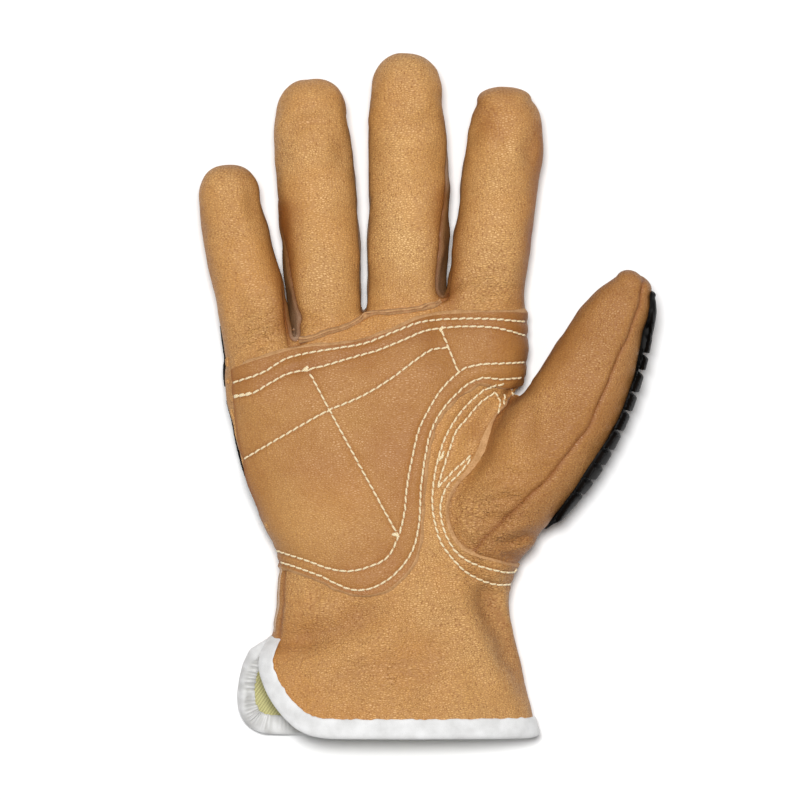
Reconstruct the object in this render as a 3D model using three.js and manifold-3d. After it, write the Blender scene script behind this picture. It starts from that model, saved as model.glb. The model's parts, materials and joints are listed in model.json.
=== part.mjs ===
// Driver's work glove, right hand, lying on its back with the palm up.
// Millimetres. X runs from the little finger to the thumb, Y from the hem to the fingertips, +Z is up.
import * as THREE from "three";
import { LoftGeometry } from "three/addons/geometries/LoftGeometry.js";
import { mergeVertices } from "three/addons/utils/BufferGeometryUtils.js";
import Module from "manifold-3d";

const wasm = await Module();
wasm.setup();

// Driving dimensions
const LEATHER = 1.6; // wall of the leather
const PATCH = 1.2; // second layer of leather on the palm
const PATCH_RISE = 2; // how far above the side seams that layer ends
const LINING = 1.0; // cloth of the cuff's lining
const TAPE = 1.0; // folded tape of the cuff's edge
const TAPE_WIDTH = 7.0; // how far the tape reaches up from the edge
const TAPE_OVERHANG = 1.5; // how far the tape stands out past the leather's edge
const GUARD_SHEET = 1.6; // rubber between the guards' pads
const GUARD_PAD = 5.4; // rubber at the pads, before the floor flattens them
const TOOTH = 4.6; // height of the thumb guard's ribs, from the leather
const GAP = 0.3; // air between two pieces that touch
const HEM_Y = -124;
const SLIT_TOP_Y = -89.5; // where the slit on the little-finger side ends
const LINING_TOP_Y = -64;
const CROTCH_SLOT = 0.7; // air between two fingers where they stand closest
const FOURCHETTE_HALF = 4; // half the width of the strips between the fingers
const STRIP_TUCK = 0.6; // how far those strips reach past the crotch's leather
const PATCH_BACK = 0.9; // air between the palm's second layer and the thumb hole's cut
const GUARD_CORNER = 6; // radius of the back guards' corners
const GUARD_CLEAR = 3; // air between the back guards and the thumb's leather
const PAD_LOW = 8; // how far below the sheet's upper edge the pads end
const PAD_END_GAP = 0.45; // share of a rib's pitch left free beside each end pad
const RIB_INSET = { low: 12, high: 6 }; // degrees by which the ribs end inside the sheet
const SPACE = 160; // half the size of the space that the glove is cut out of
const HAND_SEGMENTS = { outside: 24, inside: 16 };
const FINGER_SEGMENTS = { outside: 12, inside: 10 };
const TIP_ROWS = 3;
const TIP_BLUNTNESS = 0.35; // the larger, the wider the flat end that closes a fingertip
const CORNER_STEPS = 4;
const SLIVER = 0.06; // faces that differ less than this from their neighbours are merged

// Colours and finishes of the materials
const FINISH = {
  goatskin: { color: 0xc8965d, roughness: 0.62, metalness: 0 },
  guard_rubber: { color: 0x1c1a19, roughness: 0.42, metalness: 0 },
  binding_tape: { color: 0xe6e6e6, roughness: 0.85, metalness: 0 },
  lining_twill: { color: 0xb0a77c, roughness: 0.95, metalness: 0 },
};

// One object per row, with the named columns.
function table(names, ...values) {
  return values.map((row) => Object.fromEntries(names.map((name, i) => [name, row[i]])));
}

// Hand and cuff, hem first. Each row is a section between the two side seams: the seam's point on the
// little-finger side, its point on the thumb side, and the heights of the palm and of the back.
const HAND = table(
  ["leftX", "leftY", "leftZ", "rightX", "rightY", "rightZ", "palmZ", "backZ"],
  [-58, -140, 9, 55, -140, 14, 42, 1],
  [-59, -124, 9, 50.5, -124, 14, 41, 1],
  [-60.5, -112, 9.5, 47.5, -112, 15, 40, 1.6],
  [-60.5, -99, 11.2, 45, -98, 17, 39, 3],
  [-57.5, -92, 14, 44, -92, 18.4, 38.4, 3.8],
  [-48.4, -89.3, 15.5, 43.5, -89, 19, 38, 4],
  [-46.5, -75, 19, 40.7, -75, 20, 37, 4.8],
  [-45, -62, 20, 42, -62, 20, 37, 5.2],
  [-52, -47, 20, 42, -50, 20, 38.5, 5.2],
  [-59, -27, 20, 39, -27, 20, 40, 5.2],
  [-63.5, -6, 20, 41, -6, 20, 40.5, 5.2],
  [-65, 8, 20, 45, 12, 20, 39, 5.2],
  [-62, 19, 20, 46, 28, 20, 36, 5.4],
  [-55, 26, 20, 40, 37, 20, 30, 8],
);
// Dents of the palm side, each along a line, with its width to either side and its depth.
const DENTS = table(
  ["fromX", "fromY", "toX", "toY", "width", "depth"],
  [27, -68, 45, -106, 7, 3.2],
  [-36, -94, 2, -79, 9, 2.4],
  [-24, -34, 2, 0, 20, 3],
  [-46, -52, -46, -66, 9, 2],
);
const PALM_ROUNDNESS = 2.3; // exponent of the section's superellipse: 2 is an ellipse, more is squarer
const BACK_ROUNDNESS = 3.2;

// Fingers, from inside the hand to the last full section: the centre and the section's half sizes.
const FINGER = ["x", "y", "z", "halfWidth", "halfDepth"];
const FINGERS = {
  little: {
    rows: table(
      FINGER,
      [-48.8, 4, 21.5, 14, 14.2],
      [-51.5, 22.3, 20.8, 14.3, 14],
      [-54.6, 37.2, 20.4, 13.3, 13],
      [-58, 49.1, 20.5, 13, 12.5],
      [-61.2, 62.5, 21.2, 12.1, 11.8],
      [-63.2, 75.2, 22.6, 11.6, 11.2],
    ),
    tip: [-63.6, 87.4, 24.2],
  },
  ring: {
    rows: table(
      FINGER,
      [-27.2, 10, 21.5, 14.2, 14.8],
      [-27.7, 29.8, 21, 14.7, 14.5],
      [-28.6, 41, 20.6, 15, 14],
      [-29.8, 62.5, 20.8, 14.9, 13.3],
      [-31.2, 82, 21.8, 14.9, 13],
      [-32.6, 98.2, 23.4, 14.1, 12.4],
      [-32.7, 105.5, 24.4, 13.6, 12],
    ),
    tip: [-32.5, 119.5, 26.4],
  },
  middle: {
    rows: table(
      FINGER,
      [2.2, 12, 21.5, 15, 14.8],
      [2.2, 32, 21, 15.6, 14.6],
      [2.8, 49.1, 20.6, 15.8, 14],
      [3, 71.4, 21, 15.3, 13.6],
      [2.6, 89.3, 22.3, 15.3, 13.3],
      [2.2, 102.7, 23.9, 14.5, 12.8],
      [2.4, 113.4, 25.5, 13.7, 12.2],
    ),
    tip: [2.1, 128.8, 27.8],
  },
  index: {
    rows: table(
      FINGER,
      [30.3, 12, 21.5, 14.8, 14.8],
      [30.6, 30, 21, 15.4, 14.6],
      [31.4, 41, 20.7, 15, 14.2],
      [34.4, 60, 20.8, 14.3, 13.3],
      [37, 80.4, 21.8, 14.5, 13],
      [38.9, 95, 23.3, 14.6, 12.6],
      [39.2, 102.3, 24.2, 14.1, 12.2],
    ),
    tip: [38.4, 115.8, 26.2],
  },
};
const THUMB = {
  rows: table(
    FINGER,
    [20, -66, 22, 11.5, 12],
    [30.5, -50.5, 24.5, 16.6, 15.5],
    [41.5, -32.5, 28, 18.4, 16.8],
    [54.5, -13, 31.5, 18.6, 16.4],
    [64, 1.5, 33.6, 17, 15.2],
    [72.5, 17.5, 35.2, 14.6, 13.4],
    [79.5, 30, 36.2, 12.2, 11.6],
  ),
  tip: [89, 46.5, 37.5],
};
// The thumb's seam crosses its sections at this slope: so far across for so far up.
const THUMB_SEAM = { across: 0.55, up: 0.83 };
// How far the cut along that seam reaches to both sides of the thumb's centre, outwards, and past its ends.
const THUMB_CUTTER = { reach: 60, width: 90, beyond: 40 };

// Air slots between the fingers, from the crotch to the first place where the fingers stand apart.
const SLOTS = {
  little_ring: { foot: [-41, 21.5], head: [-44.7, 52] },
  ring_middle: { foot: [-13.4, 33], head: [-13.4, 56] },
  middle_index: { foot: [17.4, 38.5], head: [18.8, 54] },
};
// Beyond the slots, the ring and middle fingers' fronts lie between lines that lead to these places.
const FINGER_FRONTS = { leftX: -48, rightX: 21 };

// Height of the side seams along the glove, where the front leather meets the back leather.
const PALM_WIDTH = 108; // between the two side seams, where their heights are given
const SEAM = table(
  ["y", "leftZ", "rightZ"],
  [-150, 9, 14],
  [-112, 9.5, 15],
  [-98, 11.5, 17],
  [-89, 15.5, 19],
  [-62, 20, 20],
  [70, 20.8, 20.8],
  [100, 23.6, 23.6],
  [150, 28.5, 28.5],
);

// Outlines seen from above, as points that a smooth curve joins.
const THUMB_HOLE_FRONT = [
  [46, -62.5],
  [35.5, -59.5],
  [23, -55],
  [17.3, -42],
  [19.5, -32],
  [29, -17],
  [34, -7],
  [41, 1.5],
];
const THUMB_HOLE_BACK = [
  [47, -62],
  [39.5, -52],
  [36, -38],
  [36, -22],
  [38.5, -8],
  [43, 1.5],
];
// The line between the thumb and the index finger, from the thumb hole to the air between them.
const THUMB_CROTCH = [
  [47, 9],
  [52, 24],
];
const THUMB_BEYOND = [[70, 70]];
// The seam across the bases of the ring and middle fingers.
const FINGER_SEAM = [
  [-41, 19.4],
  [-37.5, 20.5],
  [-27, 23],
  [-14, 30.3],
  [-4, 32.6],
  [9, 34.4],
  [14.5, 35.8],
  [17.4, 37.6],
];
const PATCH_TOP = [
  [-62.3, 11.5],
  [-48, 16.4],
  [-33, 19.5],
  [-12.5, 21.6],
  [1.5, 26.5],
  [13, 31],
  [28, 32],
  [45.2, 32],
];
const PATCH_BOTTOM = [
  [44.5, 5.5],
  [32, 7.2],
  [20.5, 0],
  [12, -12.5],
  [8.5, -31],
  [7, -54],
  [0, -66.4],
  [-10.5, -71.4],
  [-22, -70],
  [-33, -65],
  [-45, -61.2],
];
const PATCH_LEFT = [
  [-52, -47],
  [-59.2, -25],
  [-62.3, -6],
];

// Edges of the cuff's slit, seen from above: the line that the leather's edge follows down the slit,
// and the centres of the rounded corners at its top and where it turns into the hem.
const FRONT_EDGE = { lineX: -51, topX: -44, topY: -97, hemX: -26, hemY: -98 };
const BACK_EDGE = { lineX: -58.2, topX: -50.6, topY: -98, hemX: -50.6, hemY: -115 };
const SLIT_END = { x: -44, y: -86.5 };

// Guards on the back, seen from above.
const KNUCKLE_GUARD = { left: -72, right: 44, top: 33, bottom: 9, slope: 0.07, sideZ: 16 };
const KNUCKLE_PADS = { centres: [-45, -18, 9, 34], halfX: 9.5, halfY: 8 };
const HAND_GUARD = { left: -70, right: 33, top: 3, bottom: -47, slope: 0.04, sideZ: 16 };
const HAND_PADS = { centres: [-42, -15, 12], halfX: 10, halfY: 18, y: -21 };
const PAD_CORNER = 4;

// Thumb guard: it lies on the outer leather, from the tip to the thumb's root.
const THUMB_GUARD = { fromRow: 1.25, toRow: 6.75, lowAngle: -78, highAngle: 4 };
const TEETH = { count: 9, share: 0.55, padShare: 1.9 };

// Solids
function solidOf(shape) {
  const geometry = new THREE.BufferGeometry();
  geometry.setAttribute("position", shape.getAttribute("position"));
  geometry.setIndex(shape.index);
  const merged = mergeVertices(geometry, 1e-4);
  const index = merged.index.array;
  const kept = [];
  for (let i = 0; i < index.length; i += 3) {
    const [a, b, c] = [index[i], index[i + 1], index[i + 2]];
    if (a !== b && b !== c && c !== a) kept.push(a, b, c);
  }
  return new wasm.Manifold(
    new wasm.Mesh({
      numProp: 3,
      vertProperties: new Float32Array(merged.attributes.position.array),
      triVerts: new Uint32Array(kept),
    }),
  );
}

function loft(sections) {
  return solidOf(new LoftGeometry(sections, { capStart: true, capEnd: true }));
}

function union(solids) {
  return solids.reduce((whole, next) => whole.add(next));
}

// The one body of a cut piece, without the crumbs that a cut leaves.
function largest(solid) {
  const bodies = solid.decompose();
  return bodies.reduce((best, next) => (next.volume() > best.volume() ? next : best));
}

// The same with its slivers merged, for a piece whose faces lie further apart than a gap.
function plain(solid) {
  return largest(solid.simplify(SLIVER));
}

// A prism along Z over an outline seen from above.
function prism(outline, low = -SPACE, high = SPACE) {
  const shape = new THREE.Shape(outline.map(([x, y]) => new THREE.Vector2(x, y)));
  const geometry = new THREE.ExtrudeGeometry(shape, { depth: high - low, bevelEnabled: false });
  geometry.translate(0, 0, low);
  return solidOf(geometry);
}

// Points of the smooth curve through an outline's points.
function smooth(points, steps = 3) {
  const curve = new THREE.SplineCurve(points.map(([x, y]) => new THREE.Vector2(x, y)));
  return curve.getPoints((points.length - 1) * steps).map((p) => [p.x, p.y]);
}

function mix(a, b, share) {
  return a + (b - a) * share;
}

// All that lies above low, up to a height of y seen from above.
function spaceBox(low, top = SPACE) {
  const outline = [
    [-SPACE, -SPACE],
    [SPACE, -SPACE],
    [SPACE, top],
    [-SPACE, top],
  ];
  return prism(outline, low, SPACE);
}

const everywhere = spaceBox(-SPACE);
const aboveFloor = spaceBox(0);

// How deep the dents are at a place seen from above.
function dentDepth(x, y) {
  return DENTS.reduce((deep, dent) => {
    const line = new THREE.Line3(
      new THREE.Vector3(dent.fromX, dent.fromY, 0),
      new THREE.Vector3(dent.toX, dent.toY, 0),
    );
    const place = new THREE.Vector3(x, y, 0);
    const near = line.closestPointToPoint(place, true, new THREE.Vector3());
    return deep + dent.depth * Math.exp(-((near.distanceTo(place) / dent.width) ** 2));
  }, 0);
}

// The hand and cuff, grown outwards by offset.
function hand(offset) {
  const segments = offset < 0 ? HAND_SEGMENTS.inside : HAND_SEGMENTS.outside;
  const sections = HAND.map((row, index) => {
    const ahead = index === HAND.length - 1 ? offset : 0;
    const left = new THREE.Vector3(row.leftX, row.leftY + ahead, row.leftZ);
    const right = new THREE.Vector3(row.rightX, row.rightY + ahead, row.rightZ);
    const across = right.clone().sub(left);
    const half = across.length() / 2 + offset;
    const middle = left.clone().add(right).multiplyScalar(0.5);
    across.normalize();
    const points = [];
    for (let i = 0; i < segments; i += 1) {
      const angle = (i / segments) * 2 * Math.PI;
      const front = Math.sin(angle) >= 0;
      const power = 2 / (front ? PALM_ROUNDNESS : BACK_ROUNDNESS);
      const out = -Math.sign(Math.cos(angle)) * Math.abs(Math.cos(angle)) ** power;
      const rise = Math.abs(Math.sin(angle)) ** power;
      const point = middle.clone().addScaledVector(across, out * half);
      point.z = mix(point.z, front ? row.palmZ + offset : row.backZ - offset, rise);
      if (front) point.z -= rise * dentDepth(point.x, point.y);
      points.push(point);
    }
    return points;
  });
  return loft(sections);
}

// The centre line of a finger with the directions across it and up from it, at a row or between rows.
function fingerFrame(finger, position) {
  const rows = [...finger.rows, { x: finger.tip[0], y: finger.tip[1], z: finger.tip[2] }];
  const last = finger.rows.length - 1;
  const at = Math.min(Math.floor(position), last);
  const share = position - at;
  const centreOf = (i) => {
    const row = rows[Math.max(0, Math.min(i, last + 1))];
    return new THREE.Vector3(row.x, row.y, row.z);
  };
  const alongOf = (i) => centreOf(i + 1).sub(centreOf(i - 1)).normalize();
  const along = alongOf(at).lerp(alongOf(at + 1), share).normalize();
  const across = along.clone().cross(new THREE.Vector3(0, 0, 1)).normalize();
  const up = across.clone().cross(along);
  const here = finger.rows[at];
  const next = finger.rows[Math.min(at + 1, last)];
  return {
    centre: centreOf(at).lerp(centreOf(at + 1), share),
    along,
    across,
    up,
    halfWidth: mix(here.halfWidth, next.halfWidth, share),
    halfDepth: mix(here.halfDepth, next.halfDepth, share),
  };
}

function ring(centre, frame, halfWidth, halfDepth, segments) {
  const points = [];
  for (let i = 0; i < segments; i += 1) {
    const angle = (i / segments) * 2 * Math.PI;
    const point = centre.clone();
    point.addScaledVector(frame.across, -Math.cos(angle) * halfWidth);
    point.addScaledVector(frame.up, Math.sin(angle) * halfDepth);
    points.push(point);
  }
  return points;
}

// A finger or the thumb, grown outwards by offset, with a round tip.
function finger(shape, offset) {
  const segments = offset < 0 ? FINGER_SEGMENTS.inside : FINGER_SEGMENTS.outside;
  const last = shape.rows.length - 1;
  const sections = shape.rows.map((row, i) => {
    const frame = fingerFrame(shape, i);
    return ring(frame.centre, frame, row.halfWidth + offset, row.halfDepth + offset, segments);
  });
  const end = fingerFrame(shape, last);
  const toTip = new THREE.Vector3(...shape.tip).sub(end.centre);
  const reach = toTip.length() + offset;
  toTip.normalize();
  for (let i = 1; i <= TIP_ROWS; i += 1) {
    const angle = (i / (TIP_ROWS + TIP_BLUNTNESS)) * (Math.PI / 2);
    const centre = end.centre.clone().addScaledVector(toTip, reach * Math.sin(angle));
    const width = (end.halfWidth + offset) * Math.cos(angle);
    const depth = (end.halfDepth + offset) * Math.cos(angle);
    sections.push(ring(centre, end, width, depth, segments));
  }
  return loft(sections);
}

// The slot between two fingers, narrower by twice the offset and so none where the fingers are grown.
function slot({ foot, head }, offset) {
  const half = CROTCH_SLOT / 2 - offset;
  const low = foot[1] + offset;
  return prism([
    [foot[0] - half, low],
    [foot[0] + half, low],
    [head[0] + half, head[1]],
    [head[0] - half, head[1]],
  ]);
}

// The whole glove's form, grown outwards by offset.
function form(offset) {
  const bodies = [hand(offset), finger(THUMB, offset)];
  Object.values(FINGERS).forEach((shape) => bodies.push(finger(shape, offset)));
  const whole = union(bodies);
  if (offset > 0) return whole;
  return whole.subtract(union(Object.values(SLOTS).map((place) => slot(place, offset))));
}

// All that lies above the side seams, moved up by rise.
function aboveSeam(rise) {
  const sections = SEAM.map((row) => {
    const slope = (row.rightZ - row.leftZ) / PALM_WIDTH;
    const middle = (row.leftZ + row.rightZ) / 2 + rise;
    return [
      new THREE.Vector3(-SPACE, row.y, middle - slope * SPACE),
      new THREE.Vector3(-SPACE, row.y, SPACE),
      new THREE.Vector3(SPACE, row.y, SPACE),
      new THREE.Vector3(SPACE, row.y, middle + slope * SPACE),
    ];
  });
  return loft(sections);
}

// All that lies below the side seams, moved up by rise.
function belowSeam(rise) {
  return everywhere.subtract(aboveSeam(rise));
}

// The half of space on the outer side of the thumb's seam, moved outwards by shift.
function outsideThumbSeam(shift) {
  const { reach, width, beyond } = THUMB_CUTTER;
  const sections = [];
  for (let i = -1; i <= THUMB.rows.length + 1; i += 1) {
    const frame = fingerFrame(THUMB, Math.max(0, Math.min(i, THUMB.rows.length)));
    const centre = frame.centre.clone();
    if (i < 0) centre.addScaledVector(frame.along, -beyond);
    if (i > THUMB.rows.length) centre.addScaledVector(frame.along, beyond);
    centre.addScaledVector(frame.across, shift);
    const slant = frame.across.clone().multiplyScalar(THUMB_SEAM.across);
    slant.addScaledVector(frame.up, THUMB_SEAM.up);
    const top = centre.clone().addScaledVector(slant, reach);
    const foot = centre.clone().addScaledVector(slant, -reach);
    const farTop = top.clone().addScaledVector(frame.across, width);
    const farFoot = foot.clone().addScaledVector(frame.across, width);
    sections.push([foot, top, farTop, farFoot]);
  }
  return loft(sections);
}

// The thumb's side of a thumb-hole edge, grown by grow towards the palm.
function thumbSide(edge, grow) {
  const line = smooth(edge).map(([x, y]) => [x - grow, y]);
  const crotch = THUMB_CROTCH.map(([x, y]) => [x - grow, y]);
  const [, highest] = THUMB_BEYOND[0];
  const [, lowest] = edge[0];
  return prism([...line, ...crotch, ...THUMB_BEYOND, [SPACE, highest], [SPACE, lowest]]);
}

// Where the thumb's leather lies, grown by grow.
function thumbZone(grow) {
  const front = thumbSide(THUMB_HOLE_FRONT, grow).intersect(aboveSeam(-grow));
  const back = thumbSide(THUMB_HOLE_BACK, grow).intersect(belowSeam(grow));
  return front.add(back);
}

// The space between two neighbouring fingers' centre lines, where their strip runs.
function betweenFingers(left, right, place, grow) {
  const low = place.foot[1] - LEATHER - STRIP_TUCK - grow;
  const ends = [left, right].map((shape) => shape.rows[shape.rows.length - 1].y);
  const high = Math.min(...ends) + grow;
  const xAt = (shape, y) => {
    const next = shape.rows.findIndex((row) => row.y >= y);
    const after = next < 1 ? shape.rows.length - 1 : next;
    const [a, b] = [shape.rows[after - 1], shape.rows[after]];
    return mix(a.x, b.x, (y - a.y) / (b.y - a.y));
  };
  return prism([
    [xAt(left, low), low],
    [xAt(right, low), low],
    [xAt(right, high), high],
    [xAt(left, high), high],
  ]);
}

// The leather behind one cuff edge, seen from above, with the edge moved in by inset.
function cuffOutline(edge, inset) {
  const top = SLIT_TOP_Y - GAP - TAPE - inset;
  const points = [[SLIT_END.x + inset, SLIT_END.y], [SLIT_END.x + inset, top]];
  const arc = (centreX, centreY, radiusX, radiusY, start) => {
    for (let i = 0; i <= CORNER_STEPS; i += 1) {
      const angle = start + (i / CORNER_STEPS) * (Math.PI / 2);
      points.push([centreX + radiusX * Math.cos(angle), centreY + radiusY * Math.sin(angle)]);
    }
  };
  arc(edge.topX, edge.topY, edge.topX - edge.lineX - inset, top - edge.topY, Math.PI / 2);
  const hemRise = edge.hemY - HEM_Y - inset;
  arc(edge.hemX, edge.hemY, edge.hemX - edge.lineX - inset, hemRise, Math.PI);
  points.push([SPACE, HEM_Y + inset], [SPACE, SPACE], [-SPACE, SPACE], [-SPACE, SLIT_END.y]);
  return prism(points);
}

// Where the front leather and the back leather of the cuff lie, with the edges moved in by inset.
function cuffZone(inset) {
  const front = cuffOutline(FRONT_EDGE, inset).intersect(aboveSeam(0));
  const back = cuffOutline(BACK_EDGE, inset).intersect(belowSeam(0));
  return front.add(back);
}

// Leather
const skin = form(0).subtract(form(-LEATHER)).intersect(cuffZone(0));
const thumbSkin = skin.intersect(thumbZone(0));
const handSkin = skin.subtract(thumbZone(GAP));

const gaps = {
  little_ring: [FINGERS.little, FINGERS.ring, SLOTS.little_ring],
  ring_middle: [FINGERS.ring, FINGERS.middle, SLOTS.ring_middle],
  middle_index: [FINGERS.middle, FINGERS.index, SLOTS.middle_index],
};
const stripZone = union(Object.values(gaps).map((gap) => betweenFingers(...gap, GAP)));
const stripBand = aboveSeam(-FOURCHETTE_HALF - GAP).intersect(belowSeam(FOURCHETTE_HALF + GAP));
const panels = handSkin.subtract(stripZone.intersect(stripBand));
const frontPanels = panels.intersect(aboveSeam(GAP / 2));
const backPanels = panels.intersect(belowSeam(-GAP / 2));

// The fronts of the ring and middle fingers, seen from above, with their edges moved in by inset.
function aboveFingerSeam(inset) {
  const { little_ring: onLeft, middle_index: onRight } = SLOTS;
  const left = [onLeft.head, onLeft.foot].map(([x, y]) => [x + inset, y]);
  const right = [onRight.foot, onRight.head].map(([x, y]) => [x - inset, y]);
  const { clamp } = THREE.MathUtils;
  const line = smooth(FINGER_SEAM).map(([x, y]) => [clamp(x, left[1][0], right[0][0]), y + inset]);
  const far = [
    [FINGER_FRONTS.rightX - inset, SPACE],
    [FINGER_FRONTS.leftX + inset, SPACE],
  ];
  return prism([...line, ...right, ...far, ...left]);
}

// The space between two planes across X.
function columnX(left, right) {
  return prism([
    [left, -SPACE],
    [right, -SPACE],
    [right, SPACE],
    [left, SPACE],
  ]);
}

const ringMiddleX = SLOTS.ring_middle.foot[0];
const ringColumn = columnX(-SPACE, ringMiddleX - GAP / 2);
const middleColumn = columnX(ringMiddleX + GAP / 2, SPACE);
const fingerFronts = frontPanels.intersect(aboveFingerSeam(GAP));

// Each piece with its finish
const pieces = {};
pieces.palm_panel = [plain(frontPanels.subtract(aboveFingerSeam(0))), "goatskin"];
pieces.ring_front = [plain(fingerFronts.intersect(ringColumn)), "goatskin"];
pieces.middle_front = [plain(fingerFronts.intersect(middleColumn)), "goatskin"];
pieces.back_panel = [plain(backPanels), "goatskin"];
Object.entries(gaps).forEach(([name, gap]) => {
  const band = aboveSeam(-FOURCHETTE_HALF).intersect(belowSeam(FOURCHETTE_HALF));
  const strip = handSkin.intersect(betweenFingers(...gap, 0)).intersect(band);
  pieces["fourchette_" + name] = [plain(strip), "goatskin"];
});
pieces.thumb_outer = [plain(thumbSkin.intersect(outsideThumbSeam(GAP / 2))), "goatskin"];
pieces.thumb_front = [plain(thumbSkin.subtract(outsideThumbSeam(-GAP / 2))), "goatskin"];

// The palm's second layer
const patchOutline = [...smooth(PATCH_TOP), ...smooth(PATCH_BOTTOM), ...PATCH_LEFT];
const nearForm = form(GAP);
const patchLayer = form(GAP + PATCH).subtract(nearForm);
const patchFront = patchLayer.intersect(prism(patchOutline)).intersect(aboveSeam(PATCH_RISE));
pieces.palm_patch = [plain(patchFront.subtract(thumbZone(GAP + PATCH_BACK))), "goatskin"];

// A rounded rectangle seen from above.
function roundedOutline(left, right, bottom, top, radius, slope = 0) {
  const points = [];
  const corners = [
    [right - radius, top - radius, 0],
    [left + radius, top - radius, 1],
    [left + radius, bottom + radius, 2],
    [right - radius, bottom + radius, 3],
  ];
  corners.forEach(([x, y, quarter]) => {
    for (let i = 0; i <= 2; i += 1) {
      const angle = ((quarter + i / 2) * Math.PI) / 2;
      points.push([x + radius * Math.cos(angle), y + radius * Math.sin(angle) + slope * x]);
    }
  });
  return points;
}

// Guards on the back: a sheet of rubber on the leather, with pads that stand on the floor.
const sheetForm = form(GAP + GUARD_SHEET);
const padForm = form(GAP + GUARD_PAD).intersect(aboveFloor);
function backGuard(place, padOutlines) {
  const { left, right, bottom, top, slope, sideZ } = place;
  const outline = roundedOutline(left, right, bottom, top, GUARD_CORNER, slope);
  const sheet = sheetForm.intersect(prism(outline, -SPACE, sideZ));
  const pads = union(padOutlines.map((pad) => prism(pad, -SPACE, sideZ - PAD_LOW)));
  const whole = sheet.add(padForm.intersect(pads));
  return largest(whole.subtract(nearForm).subtract(thumbZone(GUARD_CLEAR)));
}

const knucklePads = KNUCKLE_PADS.centres.map((x) => {
  const y = (KNUCKLE_GUARD.top + KNUCKLE_GUARD.bottom) / 2;
  const { halfX, halfY } = KNUCKLE_PADS;
  const { slope } = KNUCKLE_GUARD;
  return roundedOutline(x - halfX, x + halfX, y - halfY, y + halfY, PAD_CORNER, slope);
});
pieces.guard_knuckles = [backGuard(KNUCKLE_GUARD, knucklePads), "guard_rubber"];
const handPads = HAND_PADS.centres.map((x) => {
  const { halfX, halfY, y } = HAND_PADS;
  return roundedOutline(x - halfX, x + halfX, y - halfY, y + halfY, PAD_CORNER, HAND_GUARD.slope);
});
pieces.guard_hand = [backGuard(HAND_GUARD, handPads), "guard_rubber"];

// A wedge of space along the thumb, between two positions on its centre line and two angles about it.
function thumbWedge(from, to, lowAngle, highAngle) {
  const { reach } = THUMB_CUTTER;
  const sections = [];
  const steps = Math.ceil(to - from);
  for (let i = 0; i <= steps; i += 1) {
    const frame = fingerFrame(THUMB, mix(from, to, i / steps));
    const points = [frame.centre.clone()];
    for (let k = 2; k >= 0; k -= 1) {
      const angle = THREE.MathUtils.degToRad(mix(lowAngle, highAngle, k / 2));
      const point = frame.centre.clone().addScaledVector(frame.across, reach * Math.cos(angle));
      point.addScaledVector(frame.up, reach * Math.sin(angle));
      points.push(point);
    }
    sections.push(points);
  }
  return loft(sections);
}

// The thumb's guard: a sheet on the outer leather, a long pad at each end and ribs between them.
function thumbGuard() {
  const { fromRow, toRow, lowAngle, highAngle } = THUMB_GUARD;
  const sheet = finger(THUMB, GAP + GUARD_SHEET).intersect(
    thumbWedge(fromRow, toRow, lowAngle, highAngle),
  );
  const high = finger(THUMB, GAP + TOOTH);
  const pitch = (toRow - fromRow) / (TEETH.count + 2 * TEETH.padShare);
  const ribs = [];
  for (let i = -1; i <= TEETH.count; i += 1) {
    const isPad = i < 0 || i === TEETH.count;
    const start = i < 0 ? fromRow : fromRow + pitch * (TEETH.padShare + i);
    const long = isPad ? pitch * (TEETH.padShare - PAD_END_GAP) : pitch * TEETH.share;
    const end = i === TEETH.count ? toRow : start + long;
    ribs.push(thumbWedge(start, end, lowAngle + RIB_INSET.low, highAngle - RIB_INSET.high));
  }
  return largest(sheet.add(high.intersect(union(ribs))).subtract(nearForm));
}
pieces.guard_thumb = [thumbGuard(), "guard_rubber"];

// The cuff's lining and the tape over its edge
const liningOut = LEATHER + GAP;
const liningIn = liningOut + LINING;
const sleeve = hand(-liningOut).subtract(hand(-liningIn)).intersect(spaceBox(0, LINING_TOP_Y));
pieces.cuff_lining = [largest(sleeve.intersect(cuffZone(GAP))), "lining_twill"];

const tapeIn = liningIn + GAP;
const wrapped = hand(GAP).subtract(hand(-tapeIn)).intersect(cuffZone(-GAP));
const channel = hand(GAP + TAPE).subtract(hand(-tapeIn - TAPE));
const band = cuffZone(-TAPE_OVERHANG).subtract(cuffZone(TAPE_WIDTH - TAPE_OVERHANG));
const tape = channel.intersect(band).intersect(spaceBox(0, SLIT_TOP_Y)).subtract(wrapped);
pieces.cuff_binding = [largest(tape), "binding_tape"];

// The model stands on the middle of its base.
const glove = new THREE.Group();
glove.name = "driver_work_glove";
Object.entries(pieces).forEach(([name, [solid, finish]]) => {
  const mesh = solid.getMesh();
  const geometry = new THREE.BufferGeometry();
  geometry.setAttribute("position", new THREE.BufferAttribute(mesh.vertProperties, 3));
  geometry.setIndex(new THREE.BufferAttribute(mesh.triVerts, 1));
  geometry.computeVertexNormals();
  const piece = new THREE.Mesh(geometry, new THREE.MeshStandardMaterial(FINISH[finish]));
  piece.name = name;
  glove.add(piece);
});
const box = new THREE.Box3().setFromObject(glove);
const base = new THREE.Vector3((box.min.x + box.max.x) / 2, (box.min.y + box.max.y) / 2, box.min.z);
glove.children.forEach((piece) => piece.position.copy(base).negate());

export default glove;
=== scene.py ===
import functools
import json
import math

import bpy
import numpy as np
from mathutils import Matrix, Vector
from mathutils.bvhtree import BVHTree
from mathutils.kdtree import KDTree

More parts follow.
